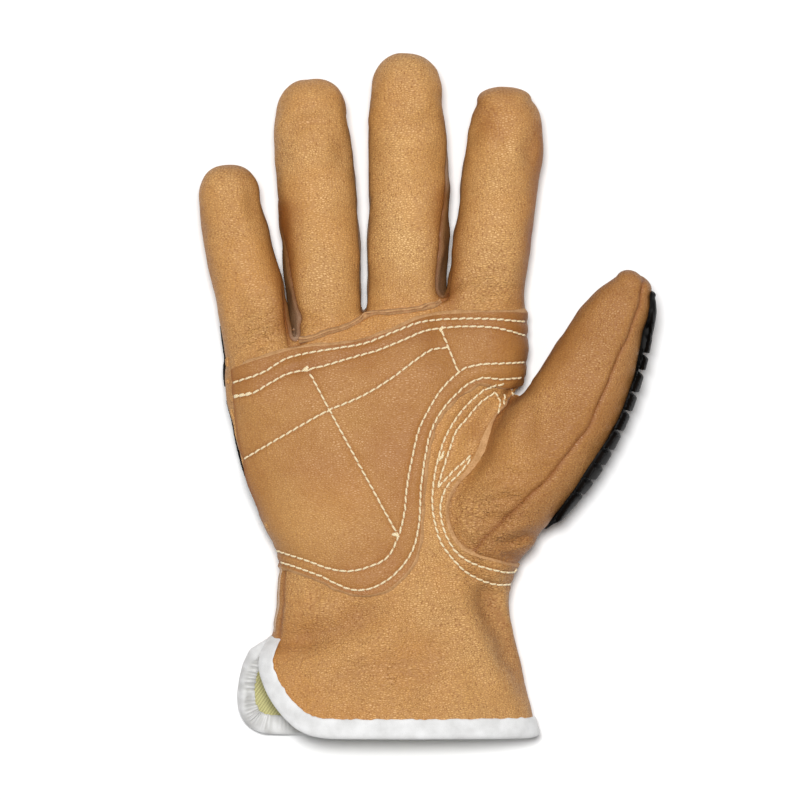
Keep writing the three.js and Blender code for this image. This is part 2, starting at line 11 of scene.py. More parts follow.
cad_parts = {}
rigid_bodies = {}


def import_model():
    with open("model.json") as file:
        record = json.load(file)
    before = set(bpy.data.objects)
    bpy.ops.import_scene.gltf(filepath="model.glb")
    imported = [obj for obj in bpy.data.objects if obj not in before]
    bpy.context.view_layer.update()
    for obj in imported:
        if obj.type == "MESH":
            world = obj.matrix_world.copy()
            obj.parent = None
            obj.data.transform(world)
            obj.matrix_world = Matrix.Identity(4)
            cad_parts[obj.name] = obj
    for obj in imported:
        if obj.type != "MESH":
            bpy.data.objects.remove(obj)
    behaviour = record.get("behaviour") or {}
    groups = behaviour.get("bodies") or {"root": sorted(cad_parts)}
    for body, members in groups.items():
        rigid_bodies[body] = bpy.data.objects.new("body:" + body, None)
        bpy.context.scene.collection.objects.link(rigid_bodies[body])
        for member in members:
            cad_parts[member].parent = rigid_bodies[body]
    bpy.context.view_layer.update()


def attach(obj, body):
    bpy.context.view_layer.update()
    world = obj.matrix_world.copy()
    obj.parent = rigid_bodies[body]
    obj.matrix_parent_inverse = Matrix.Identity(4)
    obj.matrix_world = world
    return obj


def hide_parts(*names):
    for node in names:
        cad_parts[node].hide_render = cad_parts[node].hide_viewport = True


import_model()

bl_info = {
    "name": "Driver Work Glove",
    "version": (1, 0, 0),
    "blender": (4, 5, 0),
    "location": "3D View > Sidebar > Glove",
    "description": "Builds a leather driver's work glove, piece by piece",
    "category": "Add Mesh",
}

# Tables are in millimetres: X from the little finger to the thumb, Y from the hem to the fingertips, Z up,
# from the point that the camera looks at. SHIFT moves them to the frame's origin.
MM = 0.001
SHIFT = np.array([-11.649, -1.694, 0.0])


def table(names, *rows):
    """A table's columns by name."""
    return {name: np.array(column, float) for name, column in zip(names.split(), zip(*rows))}


# The hand and cuff, hem first: the side seams' places, and the heights of the palm and of the back.
HAND = table(
    "y left right palm back",
    (-140, -59.0, 56.0, 42.0, 1.6),
    (-124, -61.0, 51.5, 41.0, 2.0),
    (-112, -61.8, 48.4, 40.0, 2.4),
    (-103, -61.4, 46.2, 39.2, 2.9),
    (-98, -60.2, 45.2, 38.7, 3.2),
    (-95, -58.0, 44.4, 38.5, 3.5),
    (-92, -53.4, 43.6, 38.2, 3.8),
    (-89.5, -48.9, 43.0, 37.9, 4.0),
    (-87, -47.4, 42.4, 37.7, 4.2),
    (-83, -46.9, 41.4, 37.4, 4.4),
    (-75, -46.0, 40.6, 37.0, 4.8),
    (-67, -45.4, 41.5, 36.8, 5.0),
    (-60, -44.2, 42.0, 37.2, 5.2),
    (-54, -45.6, 42.0, 38.0, 5.2),
    (-47, -48.7, 41.0, 38.5, 5.2),
    (-37, -53.7, 39.5, 39.4, 5.2),
    (-27, -57.8, 38.6, 40.0, 5.2),
    (-6, -62.6, 40.2, 40.4, 5.2),
    (8, -64.2, 43.4, 39.0, 5.2),
    (19, -62.6, 44.3, 36.4, 5.4),
    (30, -57.0, 43.6, 33.0, 7.0),
)
PALM_ROUNDNESS = 2.35
BACK_ROUNDNESS = 3.2
# How far the body of the hand reaches between the fingers.
CROTCH = table(
    "x y",
    (-75, 8),
    (-58, 13),
    (-41, 20.3),
    (-27, 26),
    (-13.4, 31.6),
    (2, 35.5),
    (17.4, 37.2),
    (32, 37),
    (50, 34),
)
# Height of the side seams, where the front leather meets the back leather.
SEAM = table(
    "y left right",
    (-150, 9, 14),
    (-112, 9.5, 15),
    (-98, 11.5, 17),
    (-89, 15.5, 19),
    (-62, 20, 20),
    (70, 20.8, 20.8),
    (100, 23.6, 23.6),
    (150, 28.5, 28.5),
)
PALM_WIDTH = 108.0

# Fingers and thumb, from inside the hand to the tip: centre, half width and half depth.
LIMB = "x y z width depth"
LIMBS = {
    "little": table(
        LIMB,
        (-48.8, 4, 21.5, 14, 14.2),
        (-51.5, 22.3, 20.8, 14.3, 14),
        (-54.6, 37.2, 20.4, 13.3, 13),
        (-58, 49.1, 20.5, 13, 12.5),
        (-61.2, 62.5, 21.2, 12.1, 11.8),
        (-63.2, 75.2, 22.6, 11.6, 11.2),
        (-63.6, 87.4, 24.2, 0, 0),
    ),
    "ring": table(
        LIMB,
        (-27.2, 10, 21.5, 14.2, 14.8),
        (-27.7, 29.8, 21, 14.7, 14.5),
        (-28.6, 41, 20.6, 15, 14),
        (-29.8, 62.5, 20.8, 14.9, 13.3),
        (-31.2, 82, 21.8, 14.9, 13),
        (-32.6, 98.2, 23.4, 14.1, 12.4),
        (-32.7, 105.5, 24.4, 13.1, 11.8),
        (-32.5, 119.5, 26.4, 0, 0),
    ),
    "middle": table(
        LIMB,
        (2.2, 12, 21.5, 15, 14.8),
        (2.2, 32, 21, 15.6, 14.6),
        (2.8, 49.1, 20.6, 15.8, 14),
        (3, 71.4, 21, 15.3, 13.6),
        (2.6, 89.3, 22.3, 15.3, 13.3),
        (2.2, 102.7, 23.9, 14.5, 12.8),
        (2.4, 113.4, 25.5, 13.2, 12),
        (2.1, 128.8, 27.8, 0, 0),
    ),
    "index": table(
        LIMB,
        (30.3, 12, 21.5, 14.8, 14.8),
        (30.6, 30, 21, 15.4, 14.6),
        (31.4, 41, 20.7, 15, 14.2),
        (34.4, 60, 20.8, 14.3, 13.3),
        (37, 80.4, 21.8, 14.5, 13),
        (38.9, 95, 23.3, 14.6, 12.6),
        (39.2, 102.3, 24.2, 13.5, 12),
        (38.9, 107, 25, 12.3, 11.2),
        (38.6, 110.6, 25.5, 10.2, 9.6),
        (38.4, 116.2, 26.2, 0, 0),
    ),
    "thumb": table(
        LIMB,
        (20, -66, 22, 11.5, 12),
        (30.4, -50.4, 24.5, 16.5, 15.5),
        (41.6, -32.6, 28, 18.6, 16.8),
        (55.4, -13.6, 31.5, 19.7, 16.4),
        (64.9, 1, 33.6, 18, 15.2),
        (73.2, 17.1, 35.2, 15.3, 13.4),
        (79.2, 30.2, 36.2, 12.1, 11.6),
        (84.2, 38.0, 36.9, 9.5, 9.8),
        (86.4, 41.9, 37.2, 7.2, 7.6),
        (88.9, 46.4, 37.5, 0, 0),
    ),
}
FINGER_ROUNDNESS = 2.3
START_CAP = 10.0
# The slot between two fingers leads from its foot at the crotch through its head.
SLOTS = table(
    "foot_x foot_y head_x head_y",
    (-41, 21.5, -44.7, 52),
    (-13.4, 33, -13.4, 56),
    (17.4, 38.5, 18.8, 54),
)
FINGER_ORDER = ("little", "ring", "middle", "index")
STRIPS = [left + "_" + right for left, right in zip(FINGER_ORDER, FINGER_ORDER[1:])]
SLOT_HALF = 0.6
# How far a slot leans to the right for each millimetre up, so the strip in it shows from above.
SLOT_LEAN = (0.32, 0.0, -0.32)
# How much further the strips reach up at the slots' feet, on the finger that is turned a little.
STRIP_TURN = (6.5, 0.0, 6.0)
# How far the fillets reach: between fingers and hand, thumb and hand, at the hand's ends and at the slots.
FINGER_FILLET = 5.0
THUMB_FILLET = 6.0
HAND_FILLET = 3.0
SLOT_FILLET = 2.5
# Room round a limb's centre line and width for what is worked out there, and a level far from everything.
LIMB_ROOM = 9.0
FAR = 30.0

# Folds and dents of the palm side: a line of three points, the valley's width and depth, and how far its
# shoulders swell as a share of the depth.
FOLDS = table(
    "x0 y0 x1 y1 x2 y2 width depth swell",
    (28, -66, 36, -84, 46, -106, 4.2, 5.0, 0.3),
    (-42, -91, -24, -85, -4, -76, 5.5, 3.0, 0.4),
    (-36, -74, -24, -73, -12, -78, 6, 1.4, 0.3),
    (-33, -104, -14, -98, 8, -97, 8, 1.4, 0.3),
    (2, -112, 10, -100, 14, -84, 7, 0.9, 0.3),
    (-60, 17.5, -52, 21, -45, 26, 1.9, 1.0, 0.5),
    (-62, 13.5, -55, 16, -47, 19.5, 1.6, 0.7, 0.5),
    (-60, 24, -53, 27.5, -46, 33, 2.0, 0.9, 0.5),
    (-61, 31, -55, 33, -49, 38, 2.0, 0.6, 0.5),
    (18, 41, 28, 45.5, 42, 47, 2.4, 1.0, 0.5),
    (22, 37, 32, 40.5, 45, 40.5, 2.0, 0.9, 0.5),
    (26, 34, 35, 35.5, 45, 34.5, 1.8, 0.7, 0.5),
    (24, 50, 32, 53, 44, 52, 3.0, 0.6, 0.5),
    (-40, 32, -34, 29.5, -27, 28.8, 2.0, 0.9, 0.5),
    (-11, 36.5, -2, 36, 8, 37.5, 2.2, 0.7, 0.5),
    (-16, 46, -4, 42, 6, 43, 3.0, 0.5, 0.5),
    (36, -54.5, 43, -51.5, 52, -49, 2.0, 1.6, 0.5),
    (30, -60, 38, -58.5, 47, -57, 2.2, 0.8, 0.5),
    (28, -39, 35, -37, 44, -36.5, 2.2, 0.7, 0.5),
    (26, -46, 33, -43.5, 41, -43.5, 2.0, 0.6, 0.5),
    (30, -31, 38, -27.5, 46, -27.5, 2.4, 0.6, 0.5),
    (47, 2, 48.5, -8, 46, -19, 3.2, 1.2, 0.4),
    (53, 3, 56, -5, 56, -14, 3.6, 0.8, 0.4),
    (38, -54, 42, -60, 47, -62, 2.2, 0.8, 0.5),
    (26, 22, 33, 17, 42, 16, 2.6, 0.6, 0.5),
    (-24, -34, -10, -18, 2, 0, 16, 1.2, 0.0),
    (38.5, 0.5, 41.5, 3.2, 46, 6.5, 1.8, 2.6, 0.0),
    (-44, 97, -36, 102.6, -26, 104.6, 2.8, 0.9, 0.5),
    (-25, 99, -22, 91, -22.5, 83, 3.5, 0.9, 0.3),
    (-7, 101, 4, 100, 14, 104, 3.2, 0.6, 0.5),
    (-57, 79, -54.3, 73, -54, 65, 3.0, 0.9, 0.3),
    (-62, 41, -59.5, 34.5, -57, 28, 3.0, 0.8, 0.3),
    (50.5, 99, 47.5, 93, 48.5, 85, 2.6, 1.1, 0.4),
    (24, 92, 28.5, 98.5, 35, 103, 3.2, 0.8, 0.4),
    (-68, 58.5, -64, 60, -60, 64, 2.2, 0.7, 0.5),
)

# Where the leather is finely wrinkled: place, reach and how strongly.
WORN = table(
    "x y reach amount",
    (-52, 23, 13, 0.9),
    (32, 41, 13, 0.8),
    (38, -44, 15, 0.8),
    (46, -10, 14, 0.5),
    (36, -62, 9, 0.7),
    (30, -78, 12, 0.4),
    (-38, -86, 12, 0.3),
    (34, 18, 10, 0.4),
    (-2, 42, 10, 0.3),
    (-30, 34, 9, 0.4),
    (-8, -102, 42, 0.6),
    (34, -52, 16, 0.5),
)

# Lines of painted shade along finger sides and tips, cuff folds and the patch's top, and of painted
# highlight on finger tops, the palm's lower left and the thumb's base where the amount is below zero.
PAINTED_SHADING_LINES = table(
    "x0 y0 x1 y1 reach amount",
    (52, 100, 51.5, 60, 5, 0.75),
    (51.5, 60, 47, 38, 5, 0.8),
    (31, 108, 35, 100, 6, 0.3),
    (38, 114, 46, 108, 5, 0.3),
    (-63, 86, -55, 82, 4, 0.3),
    (-74, 70, -71, 40, 3, 0.25),
    (17, 75, 18, 38, 5.5, 0.9),
    (-43, 70, -42, 28, 5, 0.9),
    (27, 112, 32, 104, 5, 0.2),
    (46, -66, 52, -104, 4, 0.9),
    (-46, -66, -50, -80, 7, 0.3),
    (-30, -80, -44, -92, 8, 0.25),
    (28, -12, 34, -20, 5, 0.4),
    (-36, -42, -20, -38, 12, -0.4),
    (2, 96, 2, 52, 5.5, -0.25),
    (-31, 86, -29, 60, 5, -0.15),
    (38, 92, 36, 62, 5, -0.1),
    (-60, 6, -35, 13, 5, 0.2),
    (-35, 13, 5, 25, 5, 0.2),
    (5, 25, 45, 28, 5, 0.2),
    (24, -45, 40, -24, 11, -0.5),
    (42, -20, 54, 2, 9, -0.3),
    (12, 18, 28, -6, 6, 0.2),
    (52, -4, 66, 10, 8, -0.12),
)

# Outlines close this far from the middle, well outside the glove.
OUTSIDE = 160
# The thumb hole's edge in the front and in the back leather, and the line from it to the crotch.
THUMB_HOLE_FRONT = (
    (46, -62.5), (35.3, -59.8), (27.3, -57.4), (22.4, -54.6), (18.4, -49), (16.9, -43), (17.3, -37.5),
    (19.6, -32), (24.5, -25.5), (28.4, -18.6), (31.4, -11.5), (35.2, -5.6), (41, 1.5),
)
THUMB_HOLE_BACK = (
    (47, -62), (39.5, -52), (36, -38), (36, -22), (38.5, -8), (43, 1.5),
)
THUMB_CROTCH = ((47, 9), (52, 24), (70, 70), (OUTSIDE, 70), (OUTSIDE, -62.5))
# The seam between the thumb's two leathers: seen from above, and the plane that it follows below.
THUMB_SEAM = (
    (22, -64), (27.5, -56.2), (29.8, -52.8), (35.7, -46.8), (42.2, -40.8), (48.7, -34.9), (54.7, -29.4),
    (59.7, -22.4), (64.6, -16.4), (69.1, -11), (73, -2), (76.2, 4.8), (78.5, 10.6), (80.7, 16.5),
    (83.8, 22.3), (86.3, 29.1), (88.6, 35.9), (89.4, 41.7), (90.2, 44.5), (92, 52),
)
THUMB_UNDERSIDE = (0.55, 0.83)

# The seam at the bases of the ring and middle fingers, from one slot to the other.
FINGER_SEAM = (
    (-41, 19.8), (-37.4, 20.9), (-33.1, 22.8), (-27.9, 24.9), (-18.6, 27.9), (-13.8, 30.5), (-10.8, 32),
    (-3.7, 32.6), (3.7, 33.3), (9.3, 34.4), (14.1, 35.8), (17.4, 37.6),
)
FINGER_FRONTS = (-54.0, 21.0)
# The raw edges that stand up along this seam.
FINGER_LIP = (
    (-38.6, 25), (-38, 22), (-36.5, 22.2), (-33.1, 23), (-27.9, 24.9), (-18.6, 27.9), (-13.8, 30.5),
    (-10.8, 32), (-3.7, 32.6), (3.7, 33.3), (9.3, 34.4), (13.4, 35.4), (15.3, 37.2), (15.2, 40),
)

# The palm patch's outline.
PATCH_TOP = (
    (-61.6, 11.3), (-52, 14.8), (-40.5, 18.2), (-33.1, 19.5), (-22, 20.4), (-12.3, 22.2), (-5, 24.7),
    (1.5, 27.5), (6.5, 29.8), (11.2, 31.2), (20, 31.9), (34, 32.2), (52, 32.4),
)
PATCH_BOTTOM = (
    (52, 5.4), (44.3, 6.1), (39.1, 5), (33.5, 6.2), (29.5, 6.8), (24.6, 3.5), (20.5, 0.5), (14.9, -5.4),
    (11.9, -12.3), (9.9, -20.4), (8.7, -31.6), (7.8, -43.9), (6.8, -54.3), (4.6, -60.4), (-0.1, -66.2),
    (-5.8, -70.3), (-10.8, -71.6), (-17.9, -71.2), (-23.1, -69.6), (-29.4, -66.4), (-35.7, -64.1),
    (-41, -62.4), (-52, -60.5),
)
PATCH_LEFT = (
    (-49.6, -54), (-51.3, -41), (-55.2, -31), (-58, -19), (-60, -8), (-61.2, 2), (-61.6, 11.3),
)
# The side seam's rolled edge, beside the patch.
WELT = (
    (-63.4, 26), (-63.6, 14), (-63.2, 4), (-61.6, -8), (-59.2, -19), (-55.6, -31), (-51, -41),
    (-48.6, -49),
)

# The same seam on the cuff.
CUFF_WELT = ((-44.2, -61), (-44.6, -67), (-45, -75), (-45.8, -83), (-46.2, -87.5))
CUFF_SEAM = ((-42.6, -61), (-42.9, -67), (-43.3, -75), (-44.1, -83), (-44.6, -89))

# Stitch rows on the palm, each a smooth line through its points.
ROWS = {
    "patch_edge": (
        (-61.9, 6.3), (-50.2, 10.4), (-42, 15.3), (-35, 17.1), (-22.7, 19.2), (-13, 20.9), (-1.9, 25.3),
        (7.8, 28.8), (20.8, 30), (33, 30), (46.2, 29),
    ),
    "patch_second": (
        (-61.5, 1.2), (-55.1, 2.3), (-47.8, 6.3), (-42.1, 9.4), (-34, 11.2), (-29.2, 12.3), (-17.9, 15.6),
        (-8.2, 18.3), (0.6, 21.9), (10.3, 25.8), (16, 26.6), (26.4, 27.2), (36.8, 26.4), (46.4, 23.8),
    ),
    "cross": (
        (-57.8, -21.9), (-42, -12.6), (-26, -3.7), (-13.9, 1.5), (-3.4, 7.8), (6.3, 15.1), (11.1, 18.3),
        (18, 19.4),
    ),
    "long": ((-33.3, 9.9), (-26, -3.7), (-13.9, -26), (-1.5, -48.6)),
    "short": ((15.2, 26), (17.9, 19.3), (21.6, 10.3)),
    "inner_contour": (
        (46.1, 13.9), (38.5, 13.5), (28.1, 12.8), (24, 11.7), (20.8, 9.4), (15.2, 3.8), (11.1, -2.6),
        (7.1, -10.7), (4.7, -20.4), (2.6, -31.6), (1.5, -42.2), (-0.6, -50.2), (-5, -58.3), (-11.5, -61.6),
        (-18.7, -63.2), (-26, -62.3), (-34, -59.5), (-45.8, -55.8),
    ),
    "outer_contour": (
        (45, 8.3), (36.8, 7.8), (30.5, 8.2), (25.7, 6.3), (20.8, 2.2), (15.3, -4.1), (11.2, -12.3),
        (9.4, -20.4), (7.8, -31.6), (6.7, -47.8), (5.1, -54.3), (0.6, -61.6), (-5.8, -67.2),
        (-12.3, -69.9), (-17.9, -70), (-22.8, -68.2), (-29.2, -65.1), (-35.7, -62.8), (-44.2, -60.1),
    ),
    "thumb_outer_row": (
        (38.6, 6), (32.9, 4.6), (26.4, -0.2), (20.8, -6.7), (16.7, -13.9), (14.4, -20.4), (13.1, -26),
        (12.3, -31.6), (11.9, -38.1), (13.1, -46.1), (15.2, -52.7), (19.2, -58.3), (24, -63.2),
        (29.7, -66.4), (36.9, -68.4), (41.4, -68.4),
    ),
    "thumb_second_row": (
        (35.3, 3), (29.7, -1), (24.8, -6.7), (20.8, -11.5), (18.4, -17.9), (16, -25.2), (13.9, -32.4),
    ),
    "thumb_tack": ((13.9, -32.4), (20, -26), (26.4, -20.4)),
    "thumb_inner_row": (
        (26.4, -21.6), (21.6, -27.5), (17.6, -31.6), (15.2, -37.4), (15.4, -44.6), (18, -51.9),
        (22, -57.3), (27.6, -60.6), (35.3, -62.9), (40.9, -63.8), (44.2, -63.6),
    ),
}
PATCH_ROWS = ("patch_edge", "patch_second", "cross", "long", "short", "inner_contour", "outer_contour")
THUMB_ROWS = ("thumb_outer_row", "thumb_second_row", "thumb_tack", "thumb_inner_row")

# Bar tacks and knots: from, to, and how wide.
TACKS = table(
    "x0 y0 x1 y1 width",
    (-61.6, 1.2, -55.1, 2.5, 0.9),
    (-36.2, 12.2, -33.4, 10.2, 1.0),
    (-33.6, 12.6, -35.6, 10.4, 0.8),
    (-1.9, -48, -0.3, -51.6, 1.1),
    (-3.2, -49.2, -0.6, -50.2, 0.8),
    (14.6, -22.6, 16.4, -19, 0.7),
    (14.4, 25.4, 16.4, 27.4, 0.8),
    (35.3, 3, 37.2, -1, 0),
    (37.2, -1, 36.2, -5.2, 0),
    (38.7, 2.4, 38.5, -1.8, 0),
    (41.2, 4.8, 41.8, 1.4, 0),
)

# The leather's edge along the cuff's slit seen from above, in the front and in the back.
FRONT_EDGE = (
    (-48.5, -89.4), (-50.4, -92.2), (-51.5, -95.4), (-51.7, -99.6), (-50.2, -104.6), (-46.6, -111.6),
    (-43, -116.1), (-38.2, -120.6), (-33, -123), (-25, -124),
)
BACK_EDGE = (
    (-48.5, -89.4), (-52, -91.4), (-55.4, -93.6), (-57.6, -98.4), (-59.2, -104.6), (-59.8, -111.6),
    (-59, -117.2), (-56.4, -121), (-52.3, -123.3), (-45, -124),
)
HEM = -124.0
LINING_TOP = -64.0

# The thumb guard's edge seen from above, its notches there and their height, its ends along the thumb's
# axis, and how far it reaches round the thumb, in degrees below the horizon.
GUARD_EDGE = (
    (50, -54), (54, -48), (57.2, -43.3), (60.6, -37.9), (64.6, -32.4), (68.6, -25.9), (73.6, -18.5),
    (78.5, -11), (82.1, -3.3), (84.8, 4.3), (87.6, 11.5), (89.8, 21), (91.2, 29.5), (92.2, 38), (92.4, 46),
)
NOTCHES = (
    (66.9, -34.9), (70.3, -29.4), (73.8, -23.7), (76.6, -17.8), (80.2, -11), (83.6, -3.8), (86.1, 3),
    (88.5, 11), (89.9, 17.4),
)
NOTCH_Z = 33.0
GUARD_ENDS = (-9.5, 86.5)
GUARD_REACH = -80.0
# The back guards seen from above.
GUARD_PLATES = table(
    "left right bottom top slope",
    (-72, 44, 9, 33, 0.07),
    (-70, 32.5, -47, 3, 0.04),
)
GUARD_PADS = table(
    "plate x y half_x half_y",
    (0, -45, 21, 9.5, 8),
    (0, -18, 21, 9.5, 8),
    (0, 9, 21, 9.5, 8),
    (0, 34, 21, 8.5, 8),
    (1, -42, -21, 10, 18),
    (1, -15, -21, 10, 18),
    (1, 12, -21, 10, 18),
)
# How high the back guards reach round the hand's edge, the radii of the plates' and pads' corners, how far
# the pads stand up, and where the groove round each lies and how wide it is.
GUARD_SIDE_Z = 16.0
PLATE_CORNER = 6.0
PAD_CORNER = 4.0
PAD_HEIGHT = 4.4
PAD_GROOVE = (3.2, 0.7)
# How deep the thumb guard's underside lies in the leather, and how far the back guards' undersides are off
# the leather and their pads off the floor.
GUARD_SINK = 0.5
GUARD_GAP = 0.2
FLOOR_GAP = 0.02
# The box that the thumb guard is worked out in and its step, and the back guards' step.
GUARD_BOX = ((28, -64, 2), (102, 56, 54), 0.55)
PLATE_STEP = 0.65
# The thumb guard's ribs rise over these distances out of a notch, from the guard's sides and from its
# lower end, and between these places along the thumb they go down again by this share.
NOTCH_SLOPE = (0.25, 0.95)
SIDE_SLOPE = (0.6, 2.4)
END_SLOPE = 9
TIP_SLOPE = (74, 86)
TIP_DROP = 0.75


# Numbers and fields

def curve(rows, key, column, straight=False):
    """The smooth curve of a column over the key column. Past the ends it is level, or goes straight on."""
    x, y = rows[key], rows[column]
    slope = np.gradient(y, x)

    def at(place):
        beyond = np.minimum(place - x[0], 0) * slope[0] + np.maximum(place - x[-1], 0) * slope[-1]
        place = np.clip(place, x[0], x[-1])
        i = np.clip(np.searchsorted(x, place, side="right") - 1, 0, len(x) - 2)
        width = x[i + 1] - x[i]
        t = (place - x[i]) / width
        value = y[i] + (y[i + 1] - y[i]) * t * t * (3 - 2 * t)
        value = value + width * (slope[i] * t * (1 - t) ** 2 - slope[i + 1] * t * t * (1 - t))
        return value + beyond if straight else value

    return at


def smooth_line(points, spacing=0.5):
    """Points a spacing apart along the smooth line through some points."""
    points = np.array(points, float)
    steps = np.linalg.norm(np.diff(points, axis=0), axis=1)
    rows = {"s": np.concatenate([[0], np.cumsum(steps)])}
    count = max(2, int(rows["s"][-1] / spacing) + 1)
    along = np.linspace(0, rows["s"][-1], count)
    columns = []
    for k in range(points.shape[1]):
        rows["value"] = points[:, k]
        columns.append(curve(rows, "s", "value")(along))
    return np.stack(columns, 1)


def step_up(low, high, value):
    """0 below low, 1 above high, smooth between."""
    t = np.clip((value - low) / (high - low), 0, 1)
    return t * t * (3 - 2 * t)


def bell(distance, width):
    """1 where the distance is 0, and next to nothing beyond two widths."""
    return np.exp(-((distance / width) ** 2))


def unit(vectors):
    """The directions of an array of vectors."""
    return vectors / np.maximum(np.linalg.norm(vectors, axis=1), 1e-9)[:, None]


def blend_min(a, b, reach):
    """The lower of two levels, with a fillet of that reach."""
    h = np.clip(0.5 + 0.5 * (b - a) / reach, 0, 1)
    return b + (a - b) * h - reach * h * (1 - h)


def blend_max(a, b, reach):
    """The higher of two levels, with a rounded edge of that reach."""
    return -blend_min(-a, -b, reach)


def line_distance(x, y, line):
    """Distance to an open line seen from above, and the share along it where it is nearest."""
    best = np.full(np.broadcast(x, y).shape, 1e9)
    where = np.zeros_like(best)
    line = np.array(line, float)
    for i, (a, b) in enumerate(zip(line[:-1], line[1:])):
        run = b - a
        share = np.clip(((x - a[0]) * run[0] + (y - a[1]) * run[1]) / max(run @ run, 1e-9), 0, 1)
        near = np.hypot(x - a[0] - share * run[0], y - a[1] - share * run[1])
        closer = near < best
        best = np.where(closer, near, best)
        where = np.where(closer, (i + share) / (len(line) - 1), where)
    return best, where


def outline_distance(x, y, outline):
    """Distance to a closed outline seen from above, negative inside."""
    outline = np.array(outline, float)
    closed = np.vstack([outline, outline[:1]])
    inside = np.zeros(np.broadcast(x, y).shape, bool)
    for a, b in zip(closed[:-1], closed[1:]):
        if a[1] == b[1]:
            continue
        between = (a[1] > y) != (b[1] > y)
        inside ^= between & (x < a[0] + (y - a[1]) * (b[0] - a[0]) / (b[1] - a[1]))
    near, _ = line_distance(x, y, closed)
    return np.where(inside, -near, near)


WAVE_COUNT = 14


def waves(points, length, seed):
    """A smooth random value between about -1 and 1 at each point, that changes over a length."""
    random = np.random.default_rng(seed)
    total = np.zeros(len(points))
    for _ in range(WAVE_COUNT):
        direction = random.normal(size=points.shape[1])
        direction *= random.uniform(0.7, 1.4) * math.pi / length / np.linalg.norm(direction)
        total += np.sin(points @ direction + random.uniform(0, 2 * math.pi))
    return total / math.sqrt(WAVE_COUNT)


# A cell's corners, and the least square of a level's slope that a point is moved by.
LEAST_SLOPE = 0.05
CORNERS = np.array([(i, j, k) for i in (0, 1) for j in (0, 1) for k in (0, 1)])


class Space:
    """Sample points a step apart in a box, in millimetres."""

    def __init__(self, low, high, step):
        self.low = np.array(low, float)
        self.step = step
        counts = np.ceil((np.array(high, float) - self.low) / step - 1e-6).astype(int) + 1
        self.shape = tuple(int(n) for n in counts)
        axes = [self.low[k] + step * np.arange(counts[k]) for k in range(3)]
        self.x, self.y, self.z = np.meshgrid(*axes, indexing="ij", sparse=True)

    def part(self, low, high):
        """The slices of the samples in a smaller box, and that box as a space."""
        first = np.floor((np.array(low, float) - self.low) / self.step).astype(int)
        last = np.ceil((np.array(high, float) - self.low) / self.step).astype(int)
        first = np.clip(first, 0, np.array(self.shape) - 2)
        last = np.clip(last, first + 1, np.array(self.shape) - 1)
        inner = Space(self.low + first * self.step, self.low + last * self.step, self.step)
        return tuple(slice(a, b + 1) for a, b in zip(first, last)), inner

    def distance(self, level):
        """About the distance in millimetres from where a level of any scale is zero."""
        level = np.broadcast_to(level, self.shape)
        steep = np.sqrt(sum(np.square(slope) for slope in np.gradient(level, self.step)))
        return level / np.maximum(steep, 1e-3)

    def sample(self, values, points):
        """The values at points between the samples."""
        place = (points - self.low) / self.step
        first = np.clip(np.floor(place).astype(int), 0, np.array(self.shape) - 2)
        share = place - first
        total = np.zeros(len(points))
        for corner in CORNERS:
            weight = np.prod(np.where(corner, share, 1 - share), axis=1)
            total += weight * values[tuple((first + corner).T)]
        return total

    def skin(self, level):
        """The surface where a level is zero, as a sheet with its outer side where the level is positive."""
        inside = level < 0
        shape = np.array(self.shape) - 1
        count = np.zeros(shape, np.int8)
        for i, j, k in CORNERS:
            count += inside[i : i + shape[0], j : j + shape[1], k : k + shape[2]]
        cells = np.argwhere((count > 0) & (count < 8))
        number = np.full(shape, -1, np.int32)
        number[tuple(cells.T)] = np.arange(len(cells))
        total = np.zeros((len(cells), 3))
        hits = np.zeros(len(cells))
        for a in CORNERS:
            for axis in range(3):
                if a[axis]:
                    continue
                b = a.copy()
                b[axis] = 1
                at_a = level[tuple((cells + a).T)]
                at_b = level[tuple((cells + b).T)]
                crossing = (at_a < 0) != (at_b < 0)
                share = at_a[crossing] / (at_a - at_b)[crossing]
                total[crossing] += a + share[:, None] * (b - a)
                hits += crossing
        points = self.low + self.step * (cells + total / hits[:, None])
        triangles = []
        for axis in range(3):
            u, v = (axis + 1) % 3, (axis + 2) % 3
            here = [slice(None)] * 3
            ahead = [slice(None)] * 3
            here[axis] = slice(0, -1)
            ahead[axis] = slice(1, None)
            change = np.argwhere(inside[tuple(here)] != inside[tuple(ahead)])
            kept = (change[:, u] > 0) & (change[:, v] > 0)
            kept &= (change[:, u] < shape[u]) & (change[:, v] < shape[v])
            change = change[kept]
            ring = []
            for back_u, back_v in ((1, 1), (0, 1), (0, 0), (1, 0)):
                cell = change.copy()
                cell[:, u] -= back_u
                cell[:, v] -= back_v
                ring.append(number[tuple(cell.T)])
            quads = np.stack(ring, 1)
            outwards = inside[tuple(change.T)]
            quads = np.where(outwards[:, None], quads, quads[:, ::-1])
            first = np.linalg.norm(points[quads[:, 0]] - points[quads[:, 2]], axis=1)
            second = np.linalg.norm(points[quads[:, 1]] - points[quads[:, 3]], axis=1)
            turned = (second < first)[:, None]
            quads = np.where(turned, np.roll(quads, -1, axis=1), quads)
            triangles += [quads[:, [0, 1, 2]], quads[:, [0, 2, 3]]]
        # The points are drawn onto the surface, each by a part of a step at most.
        slopes = np.gradient(level, self.step)
        most = 0.4 * self.step
        for _ in range(2):
            steep = np.stack([self.sample(slope, points) for slope in slopes], 1)
            size = np.maximum(np.sum(steep * steep, axis=1), LEAST_SLOPE)
            move = -(self.sample(level, points) / size)[:, None] * steep
            points = points + np.clip(move, -most, most)
        steep = np.stack([self.sample(slope, points) for slope in slopes], 1)
        return Sheet(np.hstack([points, steep, np.zeros((len(points), 1))]), np.vstack(triangles))


# Sheets

EDGE_LIMIT = 8.0


